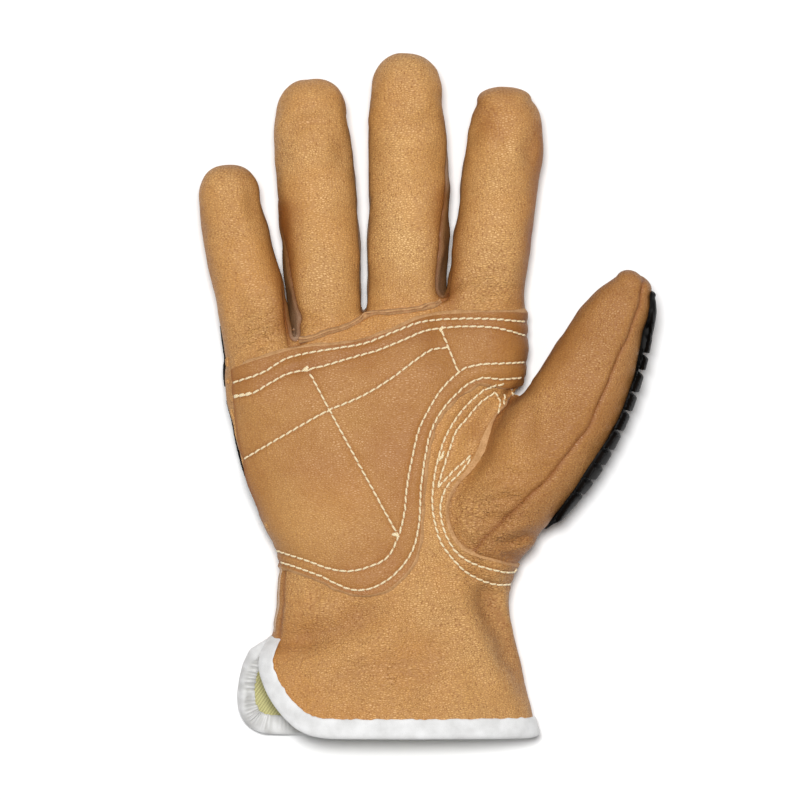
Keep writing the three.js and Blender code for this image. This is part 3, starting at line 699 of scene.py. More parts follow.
class Sheet:
    """Triangles whose points have a place, an outward direction and how much shade is painted on them in
    creases.
    """

    def __init__(self, data, triangles):
        used = np.zeros(len(data), bool)
        used[triangles] = True
        number = np.cumsum(used) - 1
        self.data = data[used]
        self.triangles = number[triangles]
        self.data[:, 3:6] = unit(self.data[:, 3:6])

    @property
    def points(self):
        return self.data[:, :3]

    @property
    def normals(self):
        return self.data[:, 3:6]

    @property
    def crease(self):
        return self.data[:, 6]

    def bodies(self):
        """The sheet's separate bodies, largest first."""
        label = np.arange(len(self.data))
        corners = self.triangles
        while True:
            lowest = label[corners].min(axis=1)
            new = label.copy()
            for k in range(3):
                np.minimum.at(new, corners[:, k], lowest)
            new = new[new]
            if np.array_equal(new, label):
                break
            label = new
        names, sizes = np.unique(label[corners[:, 0]], return_counts=True)
        order = names[np.argsort(-sizes)]
        return [Sheet(self.data, corners[label[corners[:, 0]] == name]) for name in order]

    def edges(self):
        """The edge's directed pairs of points, each with the sheet on its left."""
        pairs = np.vstack([self.triangles[:, [0, 1]], self.triangles[:, [1, 2]], self.triangles[:, [2, 0]]])
        key = pairs[:, 0] * len(self.data) + pairs[:, 1]
        reverse = pairs[:, 1] * len(self.data) + pairs[:, 0]
        return pairs[~np.isin(key, reverse)]

    def loops(self):
        """The edge's loops, as lists of points in order."""
        following = {}
        for a, b in self.edges():
            following.setdefault(int(a), []).append(int(b))
        loops = []
        while following:
            start = next(iter(following))
            loop = [start]
            while True:
                nexts = following[loop[-1]]
                step = nexts.pop()
                if not nexts:
                    del following[loop[-1]]
                if step == start:
                    break
                loop.append(step)
                if step not in following:
                    break
            loops.append(loop)
        return sorted(loops, key=len, reverse=True)

    def moved(self, amount):
        """The sheet with each point moved along its outward direction."""
        data = self.data.copy()
        data[:, :3] += data[:, 3:6] * np.broadcast_to(amount, len(data))[:, None]
        return Sheet(data, self.triangles)

    def edge_distance(self):
        """How far each point is from the sheet's edge, up to EDGE_LIMIT."""
        rim = np.unique(self.edges())
        tree = KDTree(len(rim))
        for i, point in enumerate(self.points[rim]):
            tree.insert(point, i)
        tree.balance()
        found = [tree.find(point)[2] for point in self.points]
        return np.minimum(np.array(found), EDGE_LIMIT)


# A cut closer to a point than this share of an edge moves the point onto the cut.
SNAP = 0.22


def split(sheet, level):
    """The parts of a sheet below and above a level of zero, parted along a clean line."""
    data = sheet.data.copy()
    level = np.array(level, float)
    corners = sheet.triangles
    pairs = np.vstack([corners[:, [0, 1]], corners[:, [1, 2]], corners[:, [2, 0]]])
    pairs = np.unique(np.sort(pairs, axis=1), axis=0)

    def crossings(a, b):
        """The edges that cross the level, how far along each, and the points there."""
        crossing = level[a] * level[b] < 0
        a, b = a[crossing], b[crossing]
        share = level[a] / (level[a] - level[b])
        return a, b, share, data[a] + share[:, None] * (data[b] - data[a])

    a, b, share, met = crossings(*pairs.T)
    near_a, near_b = share < SNAP, share > 1 - SNAP
    data[a[near_a]] = met[near_a]
    data[b[near_b]] = met[near_b]
    level[a[near_a]] = 0
    level[b[near_b]] = 0
    a, b, _, fresh = crossings(a, b)
    number = {(int(p), int(q)): len(data) + i for i, (p, q) in enumerate(zip(a, b))}
    data = np.vstack([data, fresh])
    side = np.sign(level[corners])
    below = side.max(axis=1) <= 0
    above = (side.min(axis=1) >= 0) & ~below
    low, high = [], []
    for triangle, sides in zip(corners[~below & ~above], side[~below & ~above]):
        rings = ([], [])
        for k in range(3):
            here, there = int(triangle[k]), int(triangle[(k + 1) % 3])
            if sides[k] <= 0:
                rings[0].append(here)
            if sides[k] >= 0:
                rings[1].append(here)
            if sides[k] * sides[(k + 1) % 3] < 0:
                point = number[min(here, there), max(here, there)]
                rings[0].append(point)
                rings[1].append(point)
        for ring, out in zip(rings, (low, high)):
            out += [(ring[0], ring[i], ring[i + 1]) for i in range(1, len(ring) - 1)]
    low = np.array(low, int).reshape(-1, 3)
    high = np.array(high, int).reshape(-1, 3)
    return (
        Sheet(data, np.vstack([corners[below], low])),
        Sheet(data, np.vstack([corners[above], high])),
    )


# The glove's form

def seam_height(x, y):
    """Height of the side seams' surface at a place seen from above."""
    left, right = curve(SEAM, "y", "left")(y), curve(SEAM, "y", "right")(y)
    return (left + right) / 2 + (right - left) / PALM_WIDTH * x


def above_seam(points):
    """How far points are above the side seams' surface."""
    return points[:, 2] - seam_height(points[:, 0], points[:, 1])


def hand_distance(space):
    """Distance from the hand and cuff."""
    x, y, z = space.x, space.y, space.z
    left, right, palm, back = (curve(HAND, "y", name)(y) for name in ("left", "right", "palm", "back"))
    across = np.abs((x - (left + right) / 2) / ((right - left) / 2))
    seam = seam_height(x, y)
    up = z - seam
    front = across**PALM_ROUNDNESS + np.abs(up / (palm - seam)) ** PALM_ROUNDNESS
    rear = across**BACK_ROUNDNESS + np.abs(up / (seam - back)) ** BACK_ROUNDNESS
    level = np.where(up > 0, front ** (1 / PALM_ROUNDNESS), rear ** (1 / BACK_ROUNDNESS)) - 1
    ends = np.maximum(y - curve(CROTCH, "x", "y")(x), HAND["y"][0] - y)
    return blend_max(space.distance(level), ends, HAND_FILLET)


class Limb:
    """A finger or the thumb along its own centre line."""

    def __init__(self, rows):
        centres = np.stack([rows["x"], rows["y"], rows["z"]], 1)
        self.axis = centres[-1] - centres[0]
        self.axis /= np.linalg.norm(self.axis)
        place = centres @ self.axis
        self.rows = dict(rows, t=place)
        self.body = {name: values[:-1] for name, values in self.rows.items()}
        self.first, self.last = place[0], place[-2]
        self.tip = place[-1] - place[-2]
        room = rows["width"].max() + LIMB_ROOM
        self.low = centres.min(axis=0) - room
        self.high = centres.max(axis=0) + room

    def frame(self, x, y, z):
        """A place along the limb's axis, how far across and up from its centre line, and the section."""
        centre = [curve(self.rows, "t", name, straight=True) for name in "xyz"]
        t = x * self.axis[0] + y * self.axis[1] + z * self.axis[2]
        for _ in range(2):
            off = [value - c(t) for value, c in zip((x, y, z), centre)]
            run = [c(t + 1) - c(t - 1) for c in centre]
            size = np.sqrt(sum(r * r for r in run)) + 1e-9
            run = [r / size for r in run]
            lean = sum(r * a for r, a in zip(run, self.axis))
            t = t + sum(o * r for o, r in zip(off, run)) * lean
        off = [value - c(t) for value, c in zip((x, y, z), centre)]
        flat = np.sqrt(run[0] ** 2 + run[1] ** 2)
        across = (off[0] * run[1] - off[1] * run[0]) / flat
        side = (run[1] / flat, -run[0] / flat)
        up_way = (side[1] * run[2], -side[0] * run[2], side[0] * run[1] - side[1] * run[0])
        up = sum(o * w for o, w in zip(off, up_way))
        width = curve(self.body, "t", "width")(t)
        depth = curve(self.body, "t", "depth")(t)
        return t, across, up, width, depth

    def distance(self, space, roundness):
        """Distance from the limb, whose ends are round."""
        t, across, up, width, depth = self.frame(space.x, space.y, space.z)
        beyond = np.maximum(t - self.last, 0) / self.tip + np.maximum(self.first - t, 0) / START_CAP
        level = np.abs(across / width) ** roundness + np.abs(up / depth) ** roundness
        level = (level + beyond**roundness) ** (1 / roundness) - 1
        return space.distance(level)


LIMB_SHAPES = {name: Limb(rows) for name, rows in LIMBS.items()}


def slot_x(i, y):
    """Where the middle of a slot between two fingers lies at a height of y seen from above."""
    foot_x, foot_y, head_x, head_y = (SLOTS[name][i] for name in ("foot_x", "foot_y", "head_x", "head_y"))
    return foot_x + (y - foot_y) * (head_x - foot_x) / (head_y - foot_y)


def fold_depth(x, y):
    """How deep the palm side's folds are at a place seen from above."""
    depth = np.zeros(np.broadcast(x, y).shape)
    for row in zip(*FOLDS.values()):
        x0, y0, x1, y1, x2, y2, width, deep, swell = row
        line = smooth_line([(x0, y0), (x1, y1), (x2, y2)], 4.0)
        near, share = line_distance(x, y, line)
        ends = np.sin(np.pi * np.clip(share, 0.04, 0.96)) ** 0.6
        shoulder = bell(near - 1.9 * width, width)
        depth += deep * ends * (bell(near, width) - swell * shoulder)
    return depth


def form(space):
    """Distance from the glove's outer surface."""
    fingers = np.full(space.shape, FAR)
    for i, name in enumerate(FINGER_ORDER):
        limb = LIMB_SHAPES[name]
        where, inner = space.part(limb.low, limb.high)
        level = limb.distance(inner, FINGER_ROUNDNESS)
        up = inner.z - seam_height(inner.x, inner.y)
        if i > 0:
            slot = slot_x(i - 1, inner.y) + SLOT_LEAN[i - 1] * up + SLOT_HALF - inner.x
            level = blend_max(level, slot, SLOT_FILLET)
        if i < len(SLOT_LEAN):
            slot = inner.x - slot_x(i, inner.y) - SLOT_LEAN[i] * up + SLOT_HALF
            level = blend_max(level, slot, SLOT_FILLET)
        fingers[where] = np.minimum(fingers[where], level)
    whole = blend_min(hand_distance(space), fingers, FINGER_FILLET)
    limb = LIMB_SHAPES["thumb"]
    where, inner = space.part(limb.low, limb.high)
    whole[where] = blend_min(whole[where], limb.distance(inner, FINGER_ROUNDNESS), THUMB_FILLET)
    up = space.z - seam_height(space.x, space.y)
    return whole + fold_depth(space.x, space.y) * step_up(1, 10, up)


def thumb_side(points):
    """Distance from the thumb hole's edge, negative on the thumb's side."""
    x, y, _ = points.T
    levels = []
    for hole in (THUMB_HOLE_FRONT, THUMB_HOLE_BACK):
        outline = np.vstack([smooth_line(hole, 1.5), THUMB_CROTCH])
        levels.append(outline_distance(x, y, outline))
    share = step_up(-4, 4, above_seam(points))
    return levels[1] + (levels[0] - levels[1]) * share


def cuff_outline(edge):
    """The leather behind one cuff edge, seen from above."""
    start = edge[0][1]
    around = [(OUTSIDE, HEM), (OUTSIDE, OUTSIDE), (-OUTSIDE, OUTSIDE), (-OUTSIDE, start + 20), (-60, start)]
    return [*smooth_line(edge, 1.0), *around]


def cuff_side(points):
    """Distance from the cuff's edge, negative on the leather."""
    x, y, _ = points.T
    front, back = (outline_distance(x, y, cuff_outline(edge)) for edge in (FRONT_EDGE, BACK_EDGE))
    share = step_up(-1.5, 1.5, above_seam(points))
    return back + (front - back) * share


def strip_zone(points):
    """Below zero on the strips between the fingers."""
    x, y, _ = points.T
    up = above_seam(points)
    level = np.full(len(points), FAR)
    for i, turn in enumerate(STRIP_TURN):
        left, right = LIMBS[FINGER_ORDER[i]], LIMBS[FINGER_ORDER[i + 1]]
        low = SLOTS["foot_y"][i] - 2.6
        high = min(left["y"][-2], right["y"][-2])
        half = 4.0 - 2.8 * step_up(low + 12, high, y)
        turned = turn * step_up(high, low + 8, y)
        turned *= step_up(-1, 1, (x - slot_x(i, y)) * (1 if i == 0 else -1))
        sides = [curve(rows, "y", "x")(y) for rows in (left, right)]
        inside = [up - half - turned, -up - half, low - y, y - high, sides[0] - x, x - sides[1]]
        level = np.minimum(level, np.max(inside, axis=0))
    return level


def finger_front_zone(points):
    """Below zero on the fronts of the ring and middle fingers."""
    x, y, _ = points.T
    foot, head = (list(zip(SLOTS[end + "_x"], SLOTS[end + "_y"])) for end in ("foot", "head"))
    left, right = FINGER_FRONTS
    outline = [*smooth_line(FINGER_SEAM, 1.0), foot[2], head[2], (right, OUTSIDE), (left, OUTSIDE)]
    return outline_distance(x, y, [*outline, head[0], foot[0]])


def patch_zone(points):
    """Below zero on the palm patch."""
    x, y, _ = points.T
    outline = [*smooth_line(PATCH_TOP, 1.0), *smooth_line(PATCH_BOTTOM, 1.0), *PATCH_LEFT]
    return outline_distance(x, y, outline)


def row_distance(points, names):
    """Distance from the nearest of some stitch rows, seen from above."""
    x, y, _ = points.T
    return np.min([line_distance(x, y, smooth_line(ROWS[name], 2.0))[0] for name in names], axis=0)


def thumb_seam_side(points):
    """Below zero on the thumb's outer leather."""
    x, y, z = points.T
    _, across, up, _, _ = LIMB_SHAPES["thumb"].frame(x, y, z)
    under = up * THUMB_UNDERSIDE[0] - across * THUMB_UNDERSIDE[1]
    outline = [*smooth_line(THUMB_SEAM, 1.0), (OUTSIDE, 60), (OUTSIDE, -90), (10, -90)]
    above = outline_distance(x, y, outline)
    return under + (above - under) * step_up(-3, 4, up)


# The palm side is sampled finely. The back, and the cuff's edge and lining, are sampled coarsely.
FINE = ((-80, -132, 6.2), (102, 134, 54), 0.8)
COARSE = ((-80, -132, -2), (102, 134, 56), 1.05)


def whole_skin(box):
    """The glove's outer surface up to the cuff's edge, uncut."""
    space = Space(*box)
    whole = space.skin(form(space)).bodies()[0]
    return split(whole, cuff_side(whole.points))[0].bodies()[0]


@functools.cache
def skin_sheets():
    """The glove's outer surface cut along its seams, a sheet for each piece, and the cuff's edge."""
    sheets = {}
    whole = whole_skin(COARSE)
    sheets["cuff_edge"] = whole.data[whole.loops()[0]]
    sheets["cuff"], _ = split(whole, whole.points[:, 1] - LINING_TOP)
    hand = split(whole, thumb_side(whole.points))[1].bodies()[0]
    _, hand = split(hand, strip_zone(hand.points))
    back, _ = split(hand, above_seam(hand.points))
    sheets["back_panel"] = back.bodies()[0]
    whole = whole_skin(FINE)
    thumb, hand = split(whole, thumb_side(whole.points))
    thumb, hand = thumb.bodies()[0], hand.bodies()[0]
    outer, inner = split(thumb, thumb_seam_side(thumb.points))
    sheets["thumb_outer"] = outer.bodies()[0]
    sheets["thumb_front"] = inner.bodies()[0]
    strips, hand = split(hand, strip_zone(hand.points))
    strips = sorted(strips.bodies()[: len(STRIPS)], key=lambda strip: strip.points[:, 0].mean())
    sheets |= {"strip_" + name: strip for name, strip in zip(STRIPS, strips)}
    _, front = split(hand, above_seam(hand.points))
    fingers, palm = split(front, finger_front_zone(front.points))
    sheets["palm_panel"] = palm.bodies()[0]
    ring, middle = split(fingers, fingers.points[:, 0] - SLOTS["foot_x"][1])
    sheets["ring_front"] = ring.bodies()[0]
    sheets["middle_front"] = middle.bodies()[0]
    return sheets


# Meshes

def linear(hex_colour):
    """A hex sRGB colour as linear red, green, blue and alpha."""
    channels = [int(hex_colour[i : i + 2], 16) / 255 for i in (1, 3, 5)]
    return tuple(c / 12.92 if c <= 0.04045 else ((c + 0.055) / 1.055) ** 2.4 for c in channels) + (1.0,)


def make_piece(name, points, faces, materials, kinds=None, marks=None, sharp=50):
    """A smooth-shaded mesh object from points in millimetres. Marks are values at the points, by name."""
    mesh = bpy.data.meshes.new(name)
    mesh.from_pydata(((points + SHIFT) * MM).tolist(), [], [list(face) for face in faces])
    for material in materials:
        mesh.materials.append(material)
    if kinds is not None:
        mesh.polygons.foreach_set("material_index", np.asarray(kinds, np.int32))
    for mark, values in (marks or {}).items():
        attribute = mesh.attributes.new(mark, "FLOAT", "POINT")
        attribute.data.foreach_set("value", np.asarray(values, np.float32))
    mesh.validate()
    mesh.shade_smooth()
    mesh.set_sharp_from_angle(angle=math.radians(sharp))
    piece = bpy.data.objects.new(name, mesh)
    bpy.context.scene.collection.objects.link(piece)
    return piece


def settle(piece, slot, *nodes):
    """The piece moves with the glove and stands for some nodes. The slot is not used."""
    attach(piece, "root")
    if nodes:
        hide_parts(*nodes)
    return piece


# A cut edge: how far it bulges, where its two corners lie, as shares of the leather's thickness from the
# grain side and from the flesh side, and how much of the flare the upper corner takes.
CUT_BULGE = 0.12
CUT_CORNERS = (0.3, 0.22)
UPPER_FLARE = 0.45


def leather_piece(name, sheet, thickness, materials, flare=0.0):
    """A sheet with thickness: grain side, cut edge and flesh side. The cut edge spreads by the flare."""
    outer, normals = sheet.points.copy(), sheet.normals
    count = len(outer)
    inner = outer - normals * thickness
    pairs = sheet.edges()
    rim = np.unique(pairs)
    run = np.zeros((count, 3))
    for k in (0, 1):
        np.add.at(run, pairs[:, k], outer[pairs[:, 1]] - outer[pairs[:, 0]])
    away = unit(np.cross(run[rim], normals[rim]))
    spread = np.broadcast_to(flare, count)[rim, None]
    upper, lower = CUT_CORNERS
    shoulder = outer[rim] - normals[rim] * thickness * upper + away * (CUT_BULGE + UPPER_FLARE * spread)
    foot = inner[rim] + normals[rim] * thickness * lower + away * (CUT_BULGE + spread)
    points = np.vstack([outer, inner, shoulder, foot])
    number = np.full(count, -1)
    number[rim] = np.arange(len(rim))
    levels = [pairs, 2 * count + number[pairs], 2 * count + len(rim) + number[pairs], pairs + count]
    walls = np.vstack(
        [np.stack([a[:, 0], b[:, 0], b[:, 1], a[:, 1]], 1) for a, b in zip(levels, levels[1:])]
    )
    faces = [*sheet.triangles, *(sheet.triangles[:, ::-1] + count), *walls]
    kinds = np.repeat([0, 2, 1], [len(sheet.triangles), len(sheet.triangles), len(walls)])
    # The third mark is painted shading: shade and highlights along the given lines, and shade on steep
    # faces, which turn away from the lamp above.
    up = np.abs(normals[:, 2])
    steep = 1 - np.concatenate([up, up, up[rim], up[rim]])
    marks = {
        "crease": np.concatenate([sheet.crease, np.zeros(count + 2 * len(rim))]),
        "worn": worn(points) * (above_seam(points) > -4),
        "painted_shading": painted_shading(points) + 0.4 * steep**1.3,
    }
    return make_piece(name, points, faces, materials, kinds, marks)


def worn(points):
    """How finely wrinkled the leather is at each point."""
    total = np.zeros(len(points))
    for x, y, reach, amount in zip(*WORN.values()):
        near = np.hypot(points[:, 0] - x, points[:, 1] - y)
        total += amount * bell(near, reach)
    return np.clip(total, 0, 1)


def painted_shading(points):
    """How much shade is painted on the leather at each point; below zero, how much highlight is painted."""
    total = np.zeros(len(points))
    for x0, y0, x1, y1, reach, amount in zip(*PAINTED_SHADING_LINES.values()):
        near, _ = line_distance(points[:, 0], points[:, 1], np.array([(x0, y0), (x1, y1)]))
        total += amount * bell(near, reach)
    return total


def tube_piece(name, rings, materials, closed=False, sharp=60, marks=None):
    """A closed skin over rings of points: an array of rings, points and coordinates."""
    count, size = rings.shape[:2]
    turns = count if closed else count - 1
    i = np.arange(turns)[:, None]
    k = np.arange(size)[None, :]
    a = i * size + k
    b = ((i + 1) % count) * size + k
    c = ((i + 1) % count) * size + (k + 1) % size
    d = i * size + (k + 1) % size
    faces = np.stack(np.broadcast_arrays(a, b, c, d), -1).reshape(-1, 4).tolist()
    if not closed:
        faces.append(list(range(size)))
        faces.append(list(range(count * size - 1, (count - 1) * size - 1, -1)))
    return make_piece(name, rings.reshape(-1, 3), faces, materials, marks=marks, sharp=sharp)


# Materials

MATH = "ShaderNodeMath"
MIX = "ShaderNodeMix"
NOISE = "ShaderNodeTexNoise"
VECTOR = "ShaderNodeVectorMath"
RANGE = "ShaderNodeMapRange"
BUMP = "ShaderNodeBump"
CELLS = "ShaderNodeTexVoronoi"
MARK = "ShaderNodeAttribute"
SHADER = "ShaderNodeBsdfPrincipled"
OUTPUT = "ShaderNodeOutputMaterial"


def add(tree, kind, settings=None, links=None, out=0):
    """Adds a node, sets its properties and inputs, links its inputs, and gives one of its outputs."""
    node = tree.nodes.new(kind)
    for name, value in (settings or {}).items():
        if name in node.bl_rna.properties.keys():
            setattr(node, name, value)
        else:
            node.inputs[name].default_value = value
    for name, source in (links or {}).items():
        tree.links.new(node.inputs[name], source)
    return node.outputs[out] if node.outputs else None


def new_material(name):
    """An empty material."""
    material = bpy.data.materials.new(name)
    material.use_nodes = True
    material.node_tree.nodes.clear()
    return material, material.node_tree


def spaced(tree, period, stretch=(1, 1, 1), turn=(0, 0, 0)):
    """Object coordinates in which one unit is a period in millimetres."""
    place = add(tree, "ShaderNodeTexCoord", out="Object")
    size = tuple(1 / (period * MM * s) for s in stretch)
    return add(tree, "ShaderNodeMapping", {"Scale": size, "Rotation": turn}, {"Vector": place})


def goatskin(name, light, dark, crease, relief=1.0, shown=0.88):
    """Drum-dyed goatskin, grain side out. The dye lies in soft blotches. The pebble, about a millimetre
    wide, gives a fine broken shine and darker valleys. Worn places are finely wrinkled. Shade is painted
    into folds, seams, stitch rows and steep faces, and painted shade and highlights lie along given lines."""
    material, tree = new_material(name)
    blotch = add(tree, NOISE, {"Scale": 1.0, "Detail": 3.0}, {"Vector": spaced(tree, 34)})
    mottle = add(tree, NOISE, {"Scale": 1.0, "Detail": 4.0, "Roughness": 0.6}, {"Vector": spaced(tree, 5)})
    dye = add(tree, MATH, {"operation": "MULTIPLY_ADD", 1: 0.25}, {0: mottle, 2: blotch})
    dye = add(tree, RANGE, {"From Min": 0.47, "From Max": 0.78}, {"Value": dye})
    colour = add(tree, MIX, {"data_type": "RGBA", 6: dark, 7: light}, {0: dye}, 2)
    # Painted shading: the mark darkens the colour, most in blue, where shade is painted, and lightens it
    # where a highlight is painted.
    shade_factor = add(tree, MARK, {"attribute_name": "painted_shading"}, None, "Fac")
    darker = {"operation": "MULTIPLY_ADD", 1: (-0.45, -0.6, -0.75), 2: (1.0, 1.0, 1.0)}
    shade_factor = add(tree, VECTOR, darker, {0: shade_factor})
    colour = add(tree, VECTOR, {"operation": "MULTIPLY"}, {0: colour, 1: shade_factor})
    # The grain runs one way, which drifts over the hide.
    drift = add(tree, NOISE, {"Scale": 1.0, "Detail": 1.0}, {"Vector": spaced(tree, 24)}, "Color")
    # The pebble's cells, bent by noise.
    bend = add(tree, NOISE, {"Scale": 1.0, "Detail": 1.0}, {"Vector": spaced(tree, 0.9)}, "Color")
    cells = spaced(tree, 0.85, (1.4, 0.8, 1.0))
    cells = add(tree, VECTOR, {"operation": "MULTIPLY_ADD", 1: (0.7,) * 3}, {0: bend, 2: cells})
    cells = add(tree, VECTOR, {"operation": "MULTIPLY_ADD", 1: (10,) * 3}, {0: drift, 2: cells})
    edge = {"feature": "DISTANCE_TO_EDGE", "Scale": 1.0, "Randomness": 0.8}
    cells = add(tree, CELLS, edge, {"Vector": cells}, "Distance")
    pebble = add(tree, RANGE, {"From Max": 0.28}, {"Value": cells})
    # Short pits between the pebbles, where the hairs were.
    rows = spaced(tree, 1.2, (0.75, 1.3, 1.0), (0, 0, 0.25))
    rows = add(tree, VECTOR, {"operation": "MULTIPLY_ADD", 1: (10,) * 3}, {0: drift, 2: rows})
    pits = add(tree, CELLS, {"feature": "F1", "Scale": 1.0}, {"Vector": rows}, "Distance")
    pits = add(tree, RANGE, {"From Min": 0.1, "From Max": 0.42}, {"Value": pits})
    pebble = add(tree, MATH, {"operation": "MULTIPLY_ADD", 1: 0.6}, {0: pits, 2: pebble})
    pebble = add(tree, MATH, {"operation": "MULTIPLY", 1: 0.625}, {0: pebble})
    strength = add(tree, RANGE, {"From Min": 0.35, "From Max": 0.65, "To Min": 0.75}, {"Value": blotch})
    valley = add(tree, MATH, {"operation": "SUBTRACT", 0: 1.0}, {1: pebble})
    valley = add(tree, MATH, {"operation": "MULTIPLY"}, {0: valley, 1: strength})
    # The wrinkles' cells, several times as wide.
    bend = add(tree, NOISE, {"Scale": 1.0, "Detail": 4.0}, {"Vector": spaced(tree, 6)}, "Color")
    lines = spaced(tree, 2.1, (1.6, 0.75, 1.0), (0, 0, -0.25))
    lines = add(tree, VECTOR, {"operation": "MULTIPLY_ADD", 1: (2.2,) * 3}, {0: bend, 2: lines})
    lines = add(tree, CELLS, edge, {"Vector": lines}, "Distance")
    lines = add(tree, RANGE, {"From Max": 0.2, "To Min": 1.0, "To Max": 0.0}, {"Value": lines})
    worn_here = add(tree, MARK, {"attribute_name": "worn"}, None, "Fac")
    patchy = add(tree, RANGE, {"From Min": 0.3, "From Max": 0.6, "To Min": 0.2}, {"Value": mottle})
    lines = add(tree, MATH, {"operation": "MULTIPLY"}, {0: lines, 1: patchy})
    lines = add(tree, MATH, {"operation": "MULTIPLY"}, {0: lines, 1: worn_here})
    # The crease mark is painted shade in folds, along seams and stitch rows and at panel edges.
    deep = add(tree, MARK, {"attribute_name": "crease"}, None, "Fac")
    for share, amount in ((valley, shown), (lines, 0.28), (deep, 0.6)):
        share = add(tree, MATH, {"operation": "MULTIPLY", 1: amount}, {0: share})
        colour = add(tree, MIX, {"data_type": "RGBA", 7: crease}, {0: share, 6: colour}, 2)
    rough = {"Scale": 1.0, "Detail": 3.0, "Roughness": 0.65}
    fine = add(tree, NOISE, rough, {"Vector": spaced(tree, 0.35)})
    height = add(tree, MATH, {"operation": "MULTIPLY_ADD", 1: 0.25}, {0: fine, 2: pebble})
    height = add(tree, MATH, {"operation": "MULTIPLY"}, {0: height, 1: strength})
    rough = {"Scale": 1.0, "Detail": 5.0, "Roughness": 0.6}
    uneven = add(tree, NOISE, rough, {"Vector": spaced(tree, 4.5)})
    # Three reliefs, one on the other: the hide's unevenness, its wrinkles and its pebble.
    normal = add(tree, BUMP, {"Strength": 0.6, "Distance": 0.5 * MM * relief}, {"Height": uneven})
    bump = {"Strength": 1.0, "Distance": 0.25 * MM * relief, "invert": True}
    normal = add(tree, BUMP, bump, {"Height": lines, "Normal": normal})
    bump = {"Strength": 1.0, "Distance": 0.2 * MM * relief}
    normal = add(tree, BUMP, bump, {"Height": height, "Normal": normal})
    rough = add(tree, MATH, {"operation": "MULTIPLY_ADD", 1: 0.3, 2: 0.46}, {0: valley})
    links = {"Base Color": colour, "Normal": normal, "Roughness": rough}
    add(tree, OUTPUT, None, {"Surface": add(tree, SHADER, {"IOR": 1.46}, links)})
    return material


def cut_leather(name, light, dark):
    """A cut edge or flesh side: short loose fibres, which take the light softly and look paler."""
    material, tree = new_material(name)
    fibre = add(tree, NOISE, {"Scale": 1.0, "Detail": 6.0, "Roughness": 0.7}, {"Vector": spaced(tree, 0.7)})
    clump = add(tree, NOISE, {"Scale": 1.0, "Detail": 2.0}, {"Vector": spaced(tree, 3.0)})
    share = add(tree, MATH, {"operation": "MULTIPLY_ADD", 1: 0.5}, {0: clump, 2: fibre})
    share = add(tree, RANGE, {"From Min": 0.55, "From Max": 0.95}, {"Value": share})
    colour = add(tree, MIX, {"data_type": "RGBA", 6: dark, 7: light}, {0: share}, 2)
    normal = add(tree, BUMP, {"Strength": 0.9, "Distance": 0.12 * MM}, {"Height": fibre})
    finish = {"Roughness": 0.92, "IOR": 1.4, "Sheen Weight": 0.06, "Sheen Roughness": 0.4}
    shader = add(tree, SHADER, finish, {"Base Color": colour, "Normal": normal})
    add(tree, OUTPUT, None, {"Surface": shader})
    return material


def sewing_thread(name, light, dark):
    """Twisted polyester: the plies run aslant along each stitch, with a dull shine."""
    material, tree = new_material(name)
    wave = {"Scale": 1.0, "Distortion": 1.0, "bands_direction": "DIAGONAL"}
    plies = add(tree, "ShaderNodeTexWave", wave, {"Vector": spaced(tree, 1.6)}, "Fac")
    colour = add(tree, MIX, {"data_type": "RGBA", 6: dark, 7: light}, {0: plies}, 2)
    normal = add(tree, BUMP, {"Strength": 0.7, "Distance": 0.08 * MM}, {"Height": plies})
    finish = {"Roughness": 0.6, "IOR": 1.5, "Sheen Weight": 0.15}
    shader = add(tree, SHADER, finish, {"Base Color": colour, "Normal": normal})
    add(tree, OUTPUT, None, {"Surface": shader})
    return material


def moulded_rubber(name, fresh, dull):
    """Moulded rubber: near black and satin, with a very fine texture and duller patches."""
    material, tree = new_material(name)
    fine = add(tree, NOISE, {"Scale": 1.0, "Detail": 3.0, "Roughness": 0.6}, {"Vector": spaced(tree, 0.45)})
    bloom = add(tree, NOISE, {"Scale": 1.0, "Detail": 4.0}, {"Vector": spaced(tree, 9)})
    share = add(tree, RANGE, {"From Min": 0.4, "From Max": 0.75}, {"Value": bloom})
    colour = add(tree, MIX, {"data_type": "RGBA", 6: fresh, 7: dull}, {0: share}, 2)
    rough = add(tree, MATH, {"operation": "MULTIPLY_ADD", 1: 0.2, 2: 0.46}, {0: bloom})
    normal = add(tree, BUMP, {"Strength": 0.5, "Distance": 0.05 * MM}, {"Height": fine})
    links = {"Base Color": colour, "Normal": normal, "Roughness": rough}
    shader = add(tree, SHADER, {"IOR": 1.42, "Specular IOR Level": 0.15}, links)
    add(tree, OUTPUT, None, {"Surface": shader})
    return material


